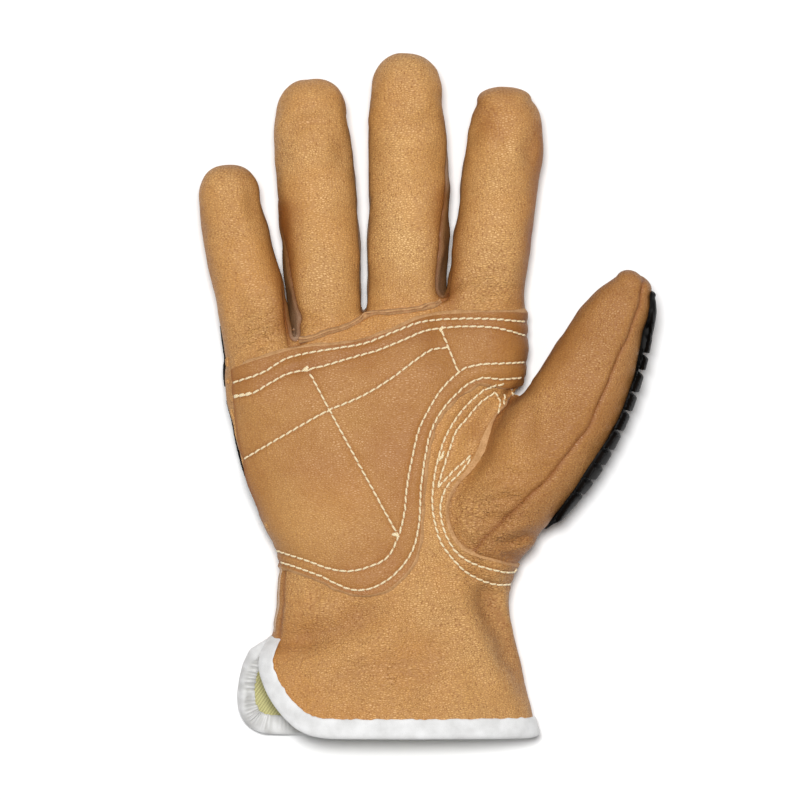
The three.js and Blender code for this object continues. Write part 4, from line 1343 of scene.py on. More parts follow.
def woven(name, light, dark, rib, slant, cross, relief):
    """A woven cloth: aslant ribs a width apart and finer threads across them, matt and slightly soiled,
    with shade painted into its creases.
    """
    material, tree = new_material(name)
    wave = {"Scale": 1.0, "Distortion": 0.6, "Detail": 1.0}
    facing = add(tree, "ShaderNodeTexCoord", out="Normal")
    bands = []
    # Ten bands of a wave texture take pi units, and the threads across are finer than the ribs.
    for period, turn in ((rib * 3.18, slant), (rib * 2.2, slant + math.pi / 2)):
        place = spaced(tree, period, turn=(0, 0, turn))
        band = add(tree, "ShaderNodeTexWave", wave, {"Vector": place}, "Fac")
        # Cloth that faces across the bands would show them as rings, so they fade there.
        across = {"operation": "DOT_PRODUCT", 1: (math.cos(turn), -math.sin(turn), 0)}
        across = add(tree, VECTOR, across, {0: facing}, "Value")
        across = add(tree, MATH, {"operation": "MULTIPLY"}, {0: across, 1: across})
        fade = {"From Min": 0.4, "From Max": 0.85, "To Min": 1.0, "To Max": 0.0}
        shown = add(tree, RANGE, fade, {"Value": across})
        band = add(tree, MATH, {"operation": "SUBTRACT", 1: 0.5}, {0: band})
        bands.append(add(tree, MATH, {"operation": "MULTIPLY_ADD", 2: 0.5}, {0: band, 1: shown}))
    ribs, threads = bands
    weave = add(tree, MATH, {"operation": "MULTIPLY_ADD", 1: cross}, {0: threads, 2: ribs})
    soil = add(tree, NOISE, {"Scale": 1.0, "Detail": 4.0}, {"Vector": spaced(tree, 7)})
    share = add(tree, MATH, {"operation": "MULTIPLY_ADD", 1: 0.5}, {0: weave, 2: soil})
    share = add(tree, RANGE, {"From Min": 0.5, "From Max": 1.1}, {"Value": share})
    # The crease mark is painted shade, which moves the cloth towards its dark colour.
    deep = add(tree, MARK, {"attribute_name": "crease"}, None, "Fac")
    share = add(tree, MATH, {"operation": "SUBTRACT", "use_clamp": True}, {0: share, 1: deep})
    colour = add(tree, MIX, {"data_type": "RGBA", 6: dark, 7: light}, {0: share}, 2)
    normal = add(tree, BUMP, {"Strength": 0.7, "Distance": relief * MM}, {"Height": weave})
    finish = {"Roughness": 0.85, "IOR": 1.45, "Sheen Weight": 0.2}
    shader = add(tree, SHADER, finish, {"Base Color": colour, "Normal": normal})
    add(tree, OUTPUT, None, {"Surface": shader})
    return material


@functools.cache
def materials():
    """Every material by a short name."""
    colours = bpy.context.scene.glove_colours
    tone = {name: tuple(getattr(colours, name)) for name in GloveColours.__annotations__}
    crease, strip = tone["crease"], tone["strip"]
    patch = (tone["patch_light"], tone["patch_dark"], crease)
    thumb = (tone["thumb_light"], tone["thumb_dark"], crease)
    return {
        "grain": goatskin("goatskin_grain", tone["light"], tone["dark"], crease),
        "patch": goatskin("goatskin_patch", *patch, relief=0.75, shown=0.6),
        "thumb": goatskin("goatskin_thumb", *thumb, shown=0.95),
        "strip": goatskin("goatskin_strip", strip, strip, crease, relief=0.7, shown=0.5),
        "cut": cut_leather("goatskin_cut_edge", tone["cut"], tone["raw"]),
        "flesh": cut_leather("goatskin_flesh_side", tone["raw"], crease),
        "thread": sewing_thread("polyester_thread", tone["thread"], tone["ply"]),
        "rubber": moulded_rubber("moulded_rubber", tone["rubber"], tone["bloom"]),
        "tape": woven("cotton_binding_tape", tone["tape"], tone["fold"], 0.4, 0.0, 0.8, 0.03),
        "twill": woven("cotton_twill", tone["twill"], tone["rib"], 1.0, math.radians(35), 0.3, 0.15),
    }


# Settings

def length(name, text, default):
    """A length that a user can change."""
    look = {"unit": "LENGTH", "subtype": "DISTANCE", "precision": 5}
    return bpy.props.FloatProperty(name=name, description=text, default=default, min=0.0, **look)


def colour(name, text, default):
    """A colour that a user can change."""
    look = {"size": 4, "min": 0.0, "max": 1.0, "subtype": "COLOR"}
    return bpy.props.FloatVectorProperty(name=name, description=text, default=linear(default), **look)


class GloveSizes(bpy.types.PropertyGroup):
    """Sizes of the glove's details."""

    leather: length("Leather", "Thickness of the leather", 0.0014)
    patch: length("Palm patch", "Thickness of the palm's second layer", 0.0011)
    cut_edge: length("Cut edge", "How far a raw edge spreads over what lies under it", 0.0012)
    stitch: length("Stitch", "Distance from one stitch to the next", 0.00285)
    thread: length("Thread", "Width of the sewing thread", 0.0008)
    tape: length("Tape", "How far the binding reaches up from the cuff's edge", 0.0062)
    rib: length("Rib", "Height of the thumb guard's ribs", 0.0035)
    plate: length("Plate", "Thickness of the guards between their ribs and pads", 0.001)


class GloveColours(bpy.types.PropertyGroup):
    """Colours of the glove's materials."""

    light: colour("Leather, light", "Where the dye is thin", "#daa968")
    dark: colour("Leather, dark", "Where the dye is dense", "#cc9552")
    patch_light: colour("Patch, light", "Where the dye is thin", "#bf8c4f")
    patch_dark: colour("Patch, dark", "Where the dye is dense", "#ad763a")
    thumb_light: colour("Thumb, light", "Where the dye is thin", "#be8c51")
    thumb_dark: colour("Thumb, dark", "Where the dye is dense", "#ad783d")
    # The crease colour is the grain's valleys and wrinkles, and also the painted shade in folds, seams and
    # stitch rows.
    crease: colour("Leather creases", "In folds, grain and seams", "#7f451a")
    strip: colour("Finger strips", "Leather between the fingers", "#bca48c")
    cut: colour("Cut edge, light", "Raw edge of the leather", "#cda071")
    raw: colour("Cut edge, dark", "Between the fibres of a raw edge", "#a5794a")
    thread: colour("Thread", "Sewing thread", "#f6e6c2")
    ply: colour("Thread plies", "Between the thread's plies", "#d9c294")
    rubber: colour("Rubber", "Guards", "#0b0a0a")
    bloom: colour("Rubber bloom", "Where the rubber has dulled", "#141211")
    tape: colour("Tape", "Binding of the cuff", "#ededed")
    # The fold colour is between the tape's threads, and also the painted shade in its folds.
    fold: colour("Tape folds", "In the tape's creases", "#b9b8b6")
    twill: colour("Twill", "Ribs of the lining", "#c6c187")
    rib: colour("Twill grooves", "Between the lining's ribs", "#9c9566")


# Pieces

def millimetres(name):
    """One of the sizes, in millimetres."""
    return getattr(bpy.context.scene.glove_sizes, name) / MM


# The leather pieces but for the patch, and the node that each stands for.
PANELS = ("back_panel", "palm_panel", "ring_front", "middle_front", "thumb_front", "thumb_outer")
LEATHER_PIECES = {name: name for name in PANELS}
LEATHER_PIECES |= {"strip_" + name: "fourchette_" + name for name in STRIPS}

# Sewn leather, in millimetres: how far it is turned in at an edge and drawn down along a stitch row, and
# how wide the row's groove and the line of painted shade in it are.
TURNED_IN = 0.7
DRAWN_DOWN = 0.4
GROOVE = 1.0
DARK_LINE = 0.7


def with_relief(name, sheet):
    """A leather sheet with its sewn edges turned in, its stitch rows drawn down, a little unevenness, and
    shade painted along its edges, rows and seams and in its fold valleys.
    """
    rim = sheet.edge_distance()
    points = sheet.points
    x, y, _ = points.T
    # Round the thumb hole the palm leather lies on the thumb's, which is tucked in under it.
    lapped = bell(thumb_side(points), 2.5) * (above_seam(points) > 0)
    turned = bell(rim, 1.0) + 0.25 * bell(rim, 2.6)
    move = 0.3 * waves(points, 11, 5) + 0.12 * waves(points, 5, 6)
    if name in ("thumb_outer", "back_panel"):
        move = np.minimum(move, 0)
    if name == "palm_panel":
        rows = row_distance(points, THUMB_ROWS)
        seam, _ = line_distance(x, y, CUFF_SEAM)
        move += -DRAWN_DOWN * bell(rows, GROOVE) + 0.15 * bell(rows - 2, 1.2)
        move -= TURNED_IN * turned * (1 - lapped)
        move -= DRAWN_DOWN * bell(seam, DARK_LINE)
        # Shade is painted along the stitch rows, the edges and the cuff seam.
        crease = np.maximum(0.8 * bell(rows, DARK_LINE), bell(rim, 0.8) * (1 - 0.5 * lapped))
        crease = np.maximum(crease, bell(seam, 0.6))
    elif name == "thumb_front":
        move -= TURNED_IN * turned * (1 - lapped)
        move -= (millimetres("leather") + 0.1) * (1 - step_up(0.5, 7, -thumb_side(points)))
        crease = bell(rim, 1.1)
    else:
        move -= TURNED_IN * turned
        crease = bell(rim, 0.8)
    # Shade is painted in the folds' valleys too.
    valley = np.clip(fold_depth(x, y) / 2.5, 0, 1) * (above_seam(points) > 2)
    sheet = sheet.moved(move)
    sheet.data[:, 6] = np.clip(np.maximum(crease, 0.5 * valley), 0, 1)
    return sheet


# Round spots seen from above, as the middle's x and y and the radius: where the thumb hole's raw edge
# spreads most, and where the tape is narrower and where it is gathered at the back flap's corner.
FLARED = (30, -17, 9)
NARROWED = (-60, -105, 13)
GATHERED = (-57, -112, 19)


def in_spot(x, y, spot):
    """One at the middle of a spot, fading outwards."""
    return bell(np.hypot(x - spot[0], y - spot[1]), spot[2])


def hole_flare(sheet):
    """How far the palm leather's raw edge spreads at the thumb hole, most beside the ball of the thumb."""
    x, y, _ = sheet.points.T
    flare = millimetres("cut_edge") * (0.9 + 1.1 * in_spot(x, y, FLARED))
    flare *= bell(thumb_side(sheet.points), 1.5) * step_up(-3, -14, y)
    return flare * (above_seam(sheet.points) > 2)


def patch_sheet():
    """The palm patch: drawn down along its stitch rows and a little puffed between them."""
    palm = skin_sheets()["palm_panel"]
    sheet, _ = split(palm, patch_zone(palm.points))
    sheet, _ = split(sheet, 1.5 - above_seam(sheet.points))
    sheet = sheet.bodies()[0]
    rows = row_distance(sheet.points, PATCH_ROWS)
    rim = sheet.edge_distance()
    left, _ = line_distance(sheet.points[:, 0], sheet.points[:, 1], PATCH_LEFT)
    move = 0.1 + millimetres("patch") - 0.5 * bell(rows, GROOVE) + 0.3 * step_up(1, 8, rows)
    move += 0.25 * waves(sheet.points, 9, 11) * step_up(0.5, 5, rows) + 0.15 * bell(rim, 1.0)
    sheet = sheet.moved(move)
    # Shade is painted along the stitch rows, round the rim and along the left edge.
    creases = (0.8 * bell(rows, DARK_LINE), 0.5 * bell(rim, 0.6), bell(left, 0.8))
    sheet.data[:, 6] = np.max(creases, axis=0)
    return sheet


class GloveLeather(bpy.types.Operator):
    """The leather panels: front, back, finger fronts, strips between the fingers and the thumb"""

    bl_idname = "glove.leather"
    bl_label = "Leather panels"

    def execute(self, context):
        finish = materials()
        for name, node in LEATHER_PIECES.items():
            sheet = with_relief(name, skin_sheets()[name])
            flare = hole_flare(sheet) if name == "palm_panel" else 0.0
            grain = finish.get(name.split("_")[0], finish["grain"])
            layers = [grain, finish["cut"], finish["flesh"]]
            piece = leather_piece(name + "_leather", sheet, millimetres("leather"), layers, flare)
            settle(piece, "goatskin", node)
        return {"FINISHED"}


class GlovePatch(bpy.types.Operator):
    """The palm's second layer of leather"""

    bl_idname = "glove.patch"
    bl_label = "Palm patch"

    def execute(self, context):
        finish = materials()
        layers = [finish["patch"], finish["cut"], finish["flesh"]]
        sheet = patch_sheet()
        left, _ = line_distance(sheet.points[:, 0], sheet.points[:, 1], PATCH_LEFT)
        flare = millimetres("cut_edge") * (0.9 + 0.3 * waves(sheet.points, 4, 3)) * step_up(2, 5, left)
        piece = leather_piece("palm_patch_leather", sheet, millimetres("patch"), layers, flare)
        settle(piece, "goatskin", "palm_patch")
        return {"FINISHED"}


@functools.cache
def surface_tree():
    """The outer leather as a tree to drop things on, in metres."""
    points, faces = [], []
    panels = ("palm_panel", "ring_front", "middle_front", "thumb_front", "thumb_outer")
    for name in (*panels, "palm_patch", "back_panel"):
        mesh = bpy.data.objects[name + "_leather"].data
        start = len(points)
        points += [v.co.copy() for v in mesh.vertices]
        faces += [[start + i for i in p.vertices] for p in mesh.polygons]
    return BVHTree.FromPolygons(points, faces)


# Where a ray that falls on the leather starts, in metres, and how far over the side seams a line beside the
# hand looks for the leather, in millimetres.
RAY_START = 0.1
SIDE_LIFT = 5


def drop(places, beside=False):
    """The points and outward directions of the leather under places seen from above, or beside them."""
    points, normals = [], []
    for x, y in places:
        start = Vector(((x + SHIFT[0]) * MM, (y + SHIFT[1]) * MM, RAY_START))
        hit, normal, _, _ = surface_tree().ray_cast(start, Vector((0, 0, -1)))
        if beside or hit is None:
            start.z = (seam_height(x, y) + SIDE_LIFT) * MM
            hit, normal, _, _ = surface_tree().find_nearest(start)
        points.append(np.array(hit) / MM - SHIFT)
        normals.append(np.array(normal))
    return np.array(points), np.array(normals)


# How much of the pitch a stitch fills and how far that varies, how far ahead on its row it looks for its
# direction, and the mean and spread of its turn away from it.
STITCH_FILL = 0.97
STITCH_LENGTHS = (0.93, 1.04)
AHEAD = 0.4
STITCH_TURN = (0.1, 0.05)


def stitch_rings(line, pitch, width, seed):
    """Rings of points for the stitches along a line seen from above."""
    random = np.random.default_rng(seed)
    line = smooth_line(line, 0.2)
    # The pitch is kept on slopes too.
    marks = np.unique(np.append(np.arange(0, len(line), 5), len(line) - 1))
    heights = drop(line[marks])[0][:, 2]
    rise = np.diff(np.interp(np.arange(len(line)), marks, heights))
    level = np.linalg.norm(np.diff(line, axis=0), axis=1)
    along = np.concatenate([[0], np.cumsum(np.hypot(level, rise.clip(-2 * level, 2 * level)))])
    count = int(along[-1] / pitch)

    def at(place):
        """A place on the line, seen from above."""
        return np.array([np.interp(place, along, line[:, k]) for k in range(2)])

    # A stitch is thinner towards its ends, where it dips into the leather, and a little flattened.
    shares = np.linspace(-1, 1, 7)
    thick = width / 2 * (1 - 0.35 * np.abs(shares) ** 3)
    lift = width * (0.4 - 0.9 * np.abs(shares) ** 5)
    angle = np.linspace(0, 2 * math.pi, 8, endpoint=False)
    rings = []
    for i in range(count):
        middle = (i + 0.5) * along[-1] / count
        place = at(middle)
        ahead = at(middle + AHEAD) - place
        if not np.any(ahead):
            ahead = place - at(middle - AHEAD)
        turn = math.atan2(ahead[1], ahead[0]) + random.normal(*STITCH_TURN)
        way = np.array([math.cos(turn), math.sin(turn)])
        half = STITCH_FILL / 2 * pitch * random.uniform(*STITCH_LENGTHS)
        half *= min(1, np.linalg.norm(ahead) / AHEAD)
        points, normals = drop([place + way * half * share for share in shares])
        normal = normals.mean(axis=0)
        normal /= np.linalg.norm(normal)
        height = points @ normal
        straight = np.interp(shares, [-1, 0, 1], height[[0, 3, 6]])
        points += (straight - height)[:, None] * normal
        centre = points + lift[:, None] * normal
        run = unit(np.gradient(centre, axis=0))
        side = unit(np.cross(run, normal))
        top = np.cross(side, run)
        ring = centre[:, None, :] + thick[:, None, None] * (
            np.cos(angle)[None, :, None] * side[:, None, :]
            + 0.85 * np.sin(angle)[None, :, None] * top[:, None, :]
        )
        rings.append(ring)
    return rings


def stitches_piece(name, lines, pitch, width, material):
    """All the stitches of some lines as one mesh."""
    points, faces = [], []
    for seed, line in enumerate(lines):
        for ring in stitch_rings(line, pitch, width, seed):
            start = len(points)
            count, size = ring.shape[:2]
            points += ring.reshape(-1, 3).tolist()
            for i in range(count - 1):
                for k in range(size):
                    a, b = start + i * size + k, start + i * size + (k + 1) % size
                    faces.append((a, b, b + size, a + size))
            faces.append(tuple(start + k for k in reversed(range(size))))
            faces.append(tuple(start + (count - 1) * size + k for k in range(size)))
    return make_piece(name, np.array(points), faces, [material], sharp=80)


def tack_lines():
    """The lines of thread that make up the bar tacks and knots: three side by side in a wide one."""
    lines = []
    for x0, y0, x1, y1, width in zip(*TACKS.values()):
        start, end = np.array([x0, y0]), np.array([x1, y1])
        run = (end - start) / np.linalg.norm(end - start)
        side = np.array([-run[1], run[0]])
        for off in (-0.35, 0, 0.35) if width else (0,):
            lines.append([start + side * off * width, end + side * off * width * 0.6 + run * off * 0.5])
    return lines


TACK_PITCH = 2.1


class GloveStitches(bpy.types.Operator):
    """The rows of stitches on the palm patch and round the thumb hole"""

    bl_idname = "glove.stitches"
    bl_label = "Stitches"

    def execute(self, context):
        pitch, width = millimetres("stitch"), millimetres("thread")
        for name, rows in (("patch_stitches", PATCH_ROWS), ("thumb_stitches", THUMB_ROWS)):
            lines = [ROWS[row] for row in rows]
            settle(stitches_piece(name, lines, pitch, width, materials()["thread"]), "binding_tape")
        piece = stitches_piece("bar_tacks", tack_lines(), TACK_PITCH, width, materials()["thread"])
        settle(piece, "binding_tape")
        return {"FINISHED"}


# The section of a double lip, in half widths across and heights up, and the lips: width and height in
# millimetres, and whether the line lies beside the hand instead of on its front.
LIP_SECTION = table(
    "across up",
    (-1, -0.8),
    (-1.05, 0.35),
    (-0.75, 0.9),
    (-0.3, 0.95),
    (0, 0.55),
    (0.3, 1),
    (0.75, 0.85),
    (1.05, 0.3),
    (1, -0.8),
)
LIPS = (
    ("finger_seam_edge", FINGER_LIP, 2.1, 1.7, False, "cut"),
    ("side_seam_edge", WELT, 1.8, 0.55, True, "grain"),
    ("cuff_seam_edge", CUFF_WELT, 1.7, 0.45, True, "strip"),
)
LIP_SEED = 21


def smoothed(rows, reach):
    """Each row of an array averaged with its neighbours."""
    share = np.ones(2 * reach + 1) / (2 * reach + 1)
    columns = [np.convolve(np.pad(column, reach, "edge"), share, "valid") for column in rows.T]
    return np.stack(columns, 1)


def lip_rings(line, width, height, seed, beside):
    """Rings of a low double lip of leather that follows a line on the surface and is lower at its ends."""
    points, normals = drop(smooth_line(line, 0.5), beside)
    normals = unit(smoothed(normals, 3))
    points = smoothed(points, 2)
    side = unit(np.cross(np.gradient(points, axis=0), normals))
    ends = [np.minimum(1, np.linspace(*way, len(points)) * 12) for way in ((0, 1), (1, 0))]
    wobble = 1 + 0.16 * waves(points, 2.5, seed)
    across = LIP_SECTION["across"][None, :] * (width / 2 * wobble)[:, None]
    up = LIP_SECTION["up"][None, :] * (height * wobble * (0.3 + 0.7 * (ends[0] * ends[1])))[:, None]
    rings = points[:, None, :] + across[:, :, None] * side[:, None, :]
    return rings + up[:, :, None] * normals[:, None, :]


class GloveLips(bpy.types.Operator):
    """The raw edges along the seam at the finger bases, and the side seam's rolled edge on hand and cuff"""

    bl_idname = "glove.lips"
    bl_label = "Raw seam edges"

    def execute(self, context):
        for seed, (name, line, width, height, beside, finish) in enumerate(LIPS, LIP_SEED):
            rings = lip_rings(line, width, height, seed, beside)
            settle(tube_piece(name, rings[:, ::-1], [materials()[finish]]), "goatskin")
        return {"FINISHED"}


def plate_piece(name, space, level, node):
    """A rubber guard from a level."""
    sheet = space.skin(level).bodies()[0]
    piece = make_piece(name, sheet.points, sheet.triangles, [materials()["rubber"]], sharp=40)
    return settle(piece, "guard_rubber", node)


class GloveThumbGuard(bpy.types.Operator):
    """The ribbed rubber guard on the thumb"""

    bl_idname = "glove.thumb_guard"
    bl_label = "Thumb guard"

    def execute(self, context):
        space = Space(*GUARD_BOX)
        limb = LIMB_SHAPES["thumb"]
        t, across, up, _, _ = limb.frame(space.x, space.y, space.z)
        distance = limb.distance(space, FINGER_ROUNDNESS)
        edge = [*smooth_line(GUARD_EDGE, 1.0), (OUTSIDE, 46), (OUTSIDE, -54)]
        above = outline_distance(space.x, space.y, edge) + 3 * np.minimum(up, 0)
        radius = np.sqrt(across**2 + up**2)
        below = np.radians(GUARD_REACH - np.degrees(np.arctan2(up, across))) * radius
        sides = np.maximum(above, below)
        notches = np.array(NOTCHES)
        places = limb.frame(notches[:, 0], notches[:, 1], np.full(len(notches), NOTCH_Z))[0]
        notch = np.min([np.abs(t - place) for place in places], axis=0)
        # The ribs slope down into the notches, to the guard's sides and towards its ends.
        raised = step_up(*NOTCH_SLOPE, notch) * step_up(*SIDE_SLOPE, -sides)
        low, high = GUARD_ENDS
        raised *= step_up(low, low + END_SLOPE, t) * (1 - TIP_DROP * step_up(*TIP_SLOPE, t))
        plate, rib = millimetres("plate"), millimetres("rib")
        height = plate + (rib - plate) * raised
        ends = np.maximum(low - t, t - high)
        under = np.maximum(-GUARD_SINK - distance, -GUARD_SINK - form(space))
        level = blend_max(distance - height, under, 0.3)
        level = blend_max(level, np.maximum(ends, sides), 1.0)
        plate_piece("guard_thumb_rubber", space, level, "guard_thumb")
        return {"FINISHED"}


def rounded_box(x, y, centre, half, radius):
    """Distance from a rounded rectangle seen from above, negative inside."""
    off_x = np.abs(x - centre[0]) - half[0] + radius
    off_y = np.abs(y - centre[1]) - half[1] + radius
    outside = np.hypot(np.maximum(off_x, 0), np.maximum(off_y, 0))
    return outside + np.minimum(np.maximum(off_x, off_y), 0) - radius


class GloveBackGuards(bpy.types.Operator):
    """The rubber guards over the knuckles and over the back of the hand"""

    bl_idname = "glove.back_guards"
    bl_label = "Back guards"

    def execute(self, context):
        plate = millimetres("plate") + 0.5
        for index, name in enumerate(("guard_knuckles", "guard_hand")):
            left, right, bottom, top, slope = (column[index] for column in GUARD_PLATES.values())
            space = Space((left - 3, bottom - 7, -1.2), (right + 3, top + 7, GUARD_SIDE_Z + 2), PLATE_STEP)
            sloped = space.y - slope * space.x
            centre = ((left + right) / 2, (bottom + top) / 2)
            half = ((right - left) / 2, (top - bottom) / 2)
            outline = rounded_box(space.x, sloped, centre, half, PLATE_CORNER)
            surface = form(space)
            pads = np.full(np.broadcast(space.x, space.y).shape, FAR)
            for owner, x, y, half_x, half_y in zip(*GUARD_PADS.values()):
                if owner == index:
                    pad = rounded_box(space.x, sloped, (x, y), (half_x, half_y), PAD_CORNER)
                    pads = np.minimum(pads, pad)
            # The pads stand up under the hand, and their flat faces rest on the floor.
            height = plate + PAD_HEIGHT * step_up(1.0, -0.8, pads) * step_up(12, 8, space.z)
            groove = PAD_GROOVE[1] * bell(np.abs(pads) - PAD_GROOVE[0], PAD_GROOVE[1])
            level = blend_max(surface - height + groove * (height > 3), GUARD_GAP - surface, 0.3)
            level = blend_max(level, np.maximum(outline, space.z - GUARD_SIDE_Z), 1.4)
            level = blend_max(level, FLOOR_GAP - space.z, 0.4)
            plate_piece(name + "_rubber", space, level, name)
        return {"FINISHED"}


TAPE_STEP = 0.36
EDGE_SMOOTHING = 2.2


def edge_path():
    """The cuff's edge as even points, the leather's outward direction, the way off the edge, the place."""
    data = skin_sheets()["cuff_edge"]
    points = data[:, :3]
    steps = np.linalg.norm(np.roll(points, -1, axis=0) - points, axis=1)
    along = np.concatenate([[0], np.cumsum(steps)])
    count = int(along[-1] / TAPE_STEP)
    place = np.linspace(0, along[-1], count, endpoint=False)
    closed = np.vstack([data[:, :6], data[:1, :6]])
    even = np.stack([np.interp(place, along, closed[:, k]) for k in range(6)], 1)
    reach = np.arange(-17, 18)
    weights = bell(reach * TAPE_STEP, EDGE_SMOOTHING)
    weights /= weights.sum()
    even = sum(w * np.roll(even, int(r), axis=0) for w, r in zip(weights, reach))
    points, normals = even[:, :3], even[:, 3:6]
    run = unit(np.roll(points, -1, axis=0) - np.roll(points, 1, axis=0))
    normals = unit(normals - np.sum(normals * run, axis=1)[:, None] * run)
    return points, normals, np.cross(run, normals), place


# The folded tape's section, from its outer hem over the leather's edge to its inner hem and back. A point
# lies off the edge by the first two columns, a share of the tape's width inwards and millimetres off, and
# out from the leather by the others, a share of the way to the inner side and millimetres out.
TAPE_SECTION = table(
    "share off deep out",
    (1, 0, 0, 0.25),
    (0.98, 0, 0, 0.55),
    (0.88, 0, 0, 0.7),
    (0.7, 0, 0, 0.75),
    (0.55, 0, 0, 0.78),
    (0.4, 0, 0, 0.8),
    (0.25, 0, 0, 0.82),
    (0.1, 0, 0, 0.8),
    (0, 0.4, 0, 0.6),
    (0, 0.95, 0, 0.05),
    (0, 1.15, 0, -0.7),
    (0, 1.2, 0.5, 0),
    (0, 1.15, 1, 0.5),
    (0, 0.7, 1, -0.45),
    (0, -0.2, 1, -0.75),
    (0.25, 0, 1, -0.8),
    (0.55, 0, 1, -0.78),
    (0.85, 0, 1, -0.75),
    (0.97, 0, 1, -0.6),
    (1, 0, 1, -0.25),
    (0.95, 0, 1, 0),
    (0, -0.5, 1, 0),
    (0, -0.3, 0.5, 0),
    (0, -0.5, 0, 0.05),
    (0.95, 0, 0, 0.05),
)
# The thickness of the lining, its gap to the leather, and how far inside the tape's inner hem lies.
LINING = 0.9
LINING_GAP = 0.5
TAPE_INSIDE = 1.5


# The tape lower than this is the back flap's.
BACK_FLAP_Z = 18


def tape_rings(width, inside):
    """Rings of the tape folded over the cuff's edge, and how much shade is painted on each point in its
    folds and over its gathered corner.
    """
    points, normals, away, place = edge_path()
    x, y, z = points.T
    off = TAPE_SECTION["off"] - TAPE_SECTION["share"] * width
    out = TAPE_SECTION["out"] - TAPE_SECTION["deep"] * inside
    # The tape is narrow where the slit ends and at the corner of the back flap, where it is gathered.
    slit_end = np.argmax(y - 3 * np.abs(x - FRONT_EDGE[0][0]))
    reach = np.linalg.norm(points - points[slit_end], axis=1)
    spread = 0.25 + 0.75 * step_up(0.5, 6.5, reach)
    back = z < BACK_FLAP_Z
    spread *= 1 - 0.35 * back * in_spot(x, y, NARROWED)
    gathered = back * in_spot(x, y, GATHERED)
    sample = np.stack([place, np.zeros_like(place)], 1)
    scallop = 0.16 * waves(sample, 3.2, 31) + 0.08 * waves(sample, 1.4, 32)
    hem = np.clip(-off / width, 0, 1) ** 3
    across = np.where(off < 0, off * spread[:, None], off) + scallop[:, None] * hem
    pleat = np.sin(2 * math.pi * place / 1.7 + 3.0 * waves(sample, 6, 35))
    pleat *= np.clip(0.6 + 0.6 * waves(sample, 5, 38), 0, 1.4)
    folds = np.zeros((len(place), len(off)))
    for k, start in enumerate(off):
        spot = np.stack([place, np.full_like(place, start * 1.3)], 1)
        folds[:, k] = 0.03 * waves(spot, 1.5, 33) + 0.06 * waves(spot, 3.6, 34)
        drawn = 0.35 + 0.45 * pleat * step_up(-1, 2, -start) + 0.2 * waves(spot, 3, 36)
        folds[:, k] += gathered * drawn
    # The folds lift the tape off the leather on both sides of it, and leave its hidden side flat.
    way = np.where(out > -inside / 2, 1, -1)
    hidden = (out < 0.2) & (out > -inside - 0.2) & (off < 0)
    folds = np.maximum(folds, -0.08) * ~hidden
    up = out + folds * way
    rings = points[:, None, :] + across[:, :, None] * away[:, None, :]
    rings += up[:, :, None] * normals[:, None, :]
    rings[:, :, 2] = np.maximum(rings[:, :, 2], 0.03)
    # Painted shade: darker in the folds' hollows, and over the gathered corner of the back flap, which lies
    # in shade.
    gathered = gathered[:, None]
    painted_fold_shade = 0.5 * gathered - (0.8 + 1.2 * gathered) * (folds - 0.35 * gathered)
    return rings, np.clip(painted_fold_shade, 0, 1).ravel()


class GloveCuff(bpy.types.Operator):
    """The cuff's lining and the tape that binds its edge"""

    bl_idname = "glove.cuff"
    bl_label = "Cuff lining and binding"

    def execute(self, context):
        thickness = millimetres("leather")
        sheet = skin_sheets()["cuff"].moved(-thickness - LINING_GAP)
        piece = leather_piece("cuff_lining_twill", sheet, LINING, [materials()["twill"]] * 3)
        settle(piece, "lining_twill", "cuff_lining")
        rings, painted_fold_shade = tape_rings(millimetres("tape"), thickness + TAPE_INSIDE)
        tape, marks = [materials()["tape"]], {"crease": painted_fold_shade}
        piece = tube_piece("cuff_binding_tape", rings, tape, closed=True, sharp=70, marks=marks)
        settle(piece, "binding_tape", "cuff_binding")
        return {"FINISHED"}


# Stage

# In millimetres: how wide the picture is at the height that the glove's outline has, that height, and how
# far above it the camera is.
PICTURE_WIDTH = 297.6
REFERENCE_Z = 20.0
CAMERA_HEIGHT = 2500.0
SENSOR = 36.0
# In metres and watts.
LAMP_PLACE = (-0.05, 0.2, 2.3)
LAMP_SIZE = 0.4
LAMP_POWER = 52.0
SKY_STRENGTH = 0.22


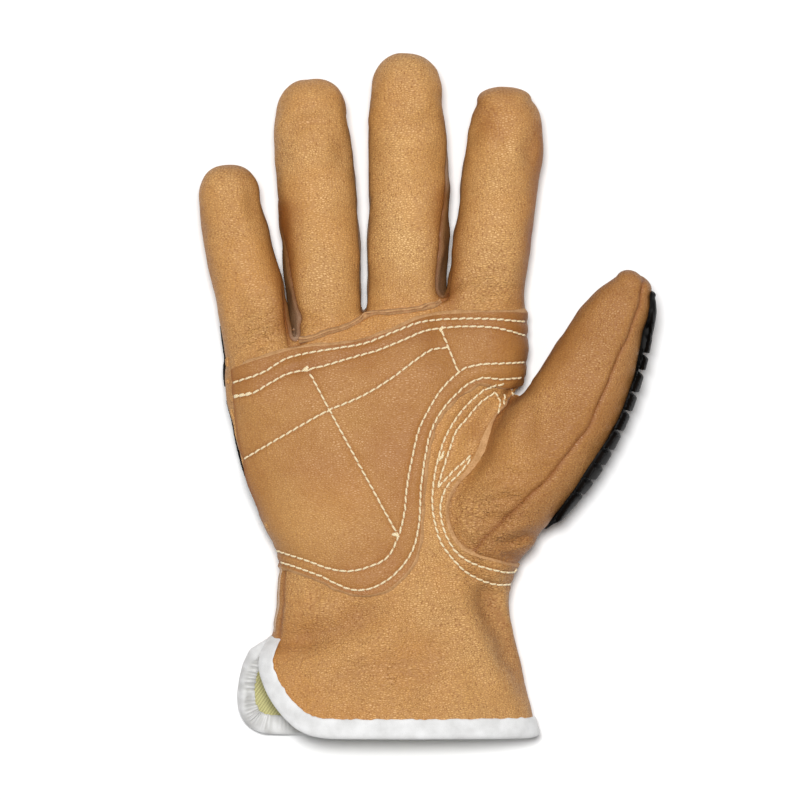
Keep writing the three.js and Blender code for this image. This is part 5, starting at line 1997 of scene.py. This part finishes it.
class GloveStage(bpy.types.Operator):
    """The pale floor, the soft light and the camera straight above the palm"""

    bl_idname = "glove.stage"
    bl_label = "Stage"

    def execute(self, context):
        scene = context.scene
        scene.view_settings.view_transform = "Standard"
        bpy.ops.mesh.primitive_grid_add(x_subdivisions=8, y_subdivisions=8, size=6.0, location=(0, 0, 0))
        floor = context.object
        floor.name = "floor"
        # Matt paper, with a very slight cloudiness.
        material, tree = new_material("matt_paper")
        cloud = add(tree, NOISE, {"Scale": 1.0, "Detail": 2.0}, {"Vector": spaced(tree, 300)})
        paper = {"data_type": "RGBA", 6: linear("#f6f6f6"), 7: linear("#f9f9f9")}
        colour = add(tree, MIX, paper, {0: cloud}, 2)
        normal = add(tree, BUMP, {"Strength": 0.1, "Distance": 0.01 * MM}, {"Height": cloud})
        links = {"Base Color": colour, "Normal": normal}
        shader = add(tree, SHADER, {"Roughness": 0.9, "IOR": 1.3}, links)
        add(tree, OUTPUT, None, {"Surface": shader})
        floor.data.materials.append(material)
        camera_data = bpy.data.cameras.new("camera")
        camera_data.sensor_width = SENSOR
        camera_data.lens = SENSOR * CAMERA_HEIGHT / PICTURE_WIDTH
        camera_data.clip_end = 20.0
        camera = bpy.data.objects.new("camera", camera_data)
        camera.location = (SHIFT[0] * MM, SHIFT[1] * MM, (CAMERA_HEIGHT + REFERENCE_Z) * MM)
        scene.collection.objects.link(camera)
        scene.camera = camera
        world = bpy.data.worlds.new("studio")
        world.use_nodes = True
        sky = world.node_tree.nodes["Background"]
        sky.inputs["Color"].default_value = (1, 1, 1, 1)
        sky.inputs["Strength"].default_value = SKY_STRENGTH
        scene.world = world
        light = bpy.data.lights.new("key", "AREA")
        light.shape = "DISK"
        light.size = LAMP_SIZE
        light.energy = LAMP_POWER
        lamp = bpy.data.objects.new("key", light)
        lamp.location = LAMP_PLACE
        lamp.rotation_euler = (-Vector(LAMP_PLACE)).to_track_quat("-Z", "Y").to_euler()
        scene.collection.objects.link(lamp)
        return {"FINISHED"}


OPERATORS = (
    GloveStage,
    GloveLeather,
    GlovePatch,
    GloveLips,
    GloveStitches,
    GloveThumbGuard,
    GloveBackGuards,
    GloveCuff,
)


class GlovePanel(bpy.types.Panel):
    """Lists the glove's pieces and settings"""

    bl_idname = "VIEW3D_PT_glove"
    bl_label = "Driver's work glove"
    bl_space_type = "VIEW_3D"
    bl_region_type = "UI"
    bl_category = "Glove"

    def draw(self, context):
        for operator in OPERATORS:
            self.layout.operator(operator.bl_idname)
        for group in (context.scene.glove_sizes, context.scene.glove_colours):
            for name in group.__annotations__:
                self.layout.prop(group, name)


CLASSES = (GloveSizes, GloveColours, *OPERATORS, GlovePanel)


def register():
    """Makes the settings, operators and panel known to Blender."""
    for each in CLASSES:
        bpy.utils.register_class(each)
    bpy.types.Scene.glove_sizes = bpy.props.PointerProperty(type=GloveSizes)
    bpy.types.Scene.glove_colours = bpy.props.PointerProperty(type=GloveColours)


def unregister():
    """Takes them away again."""
    del bpy.types.Scene.glove_colours
    del bpy.types.Scene.glove_sizes
    for each in reversed(CLASSES):
        bpy.utils.unregister_class(each)


def main():
    """Builds the glove and the stage."""
    register()
    for operator in OPERATORS:
        group, name = operator.bl_idname.split(".")
        getattr(getattr(bpy.ops, group), name)()


if __name__ == "__main__":
    main()
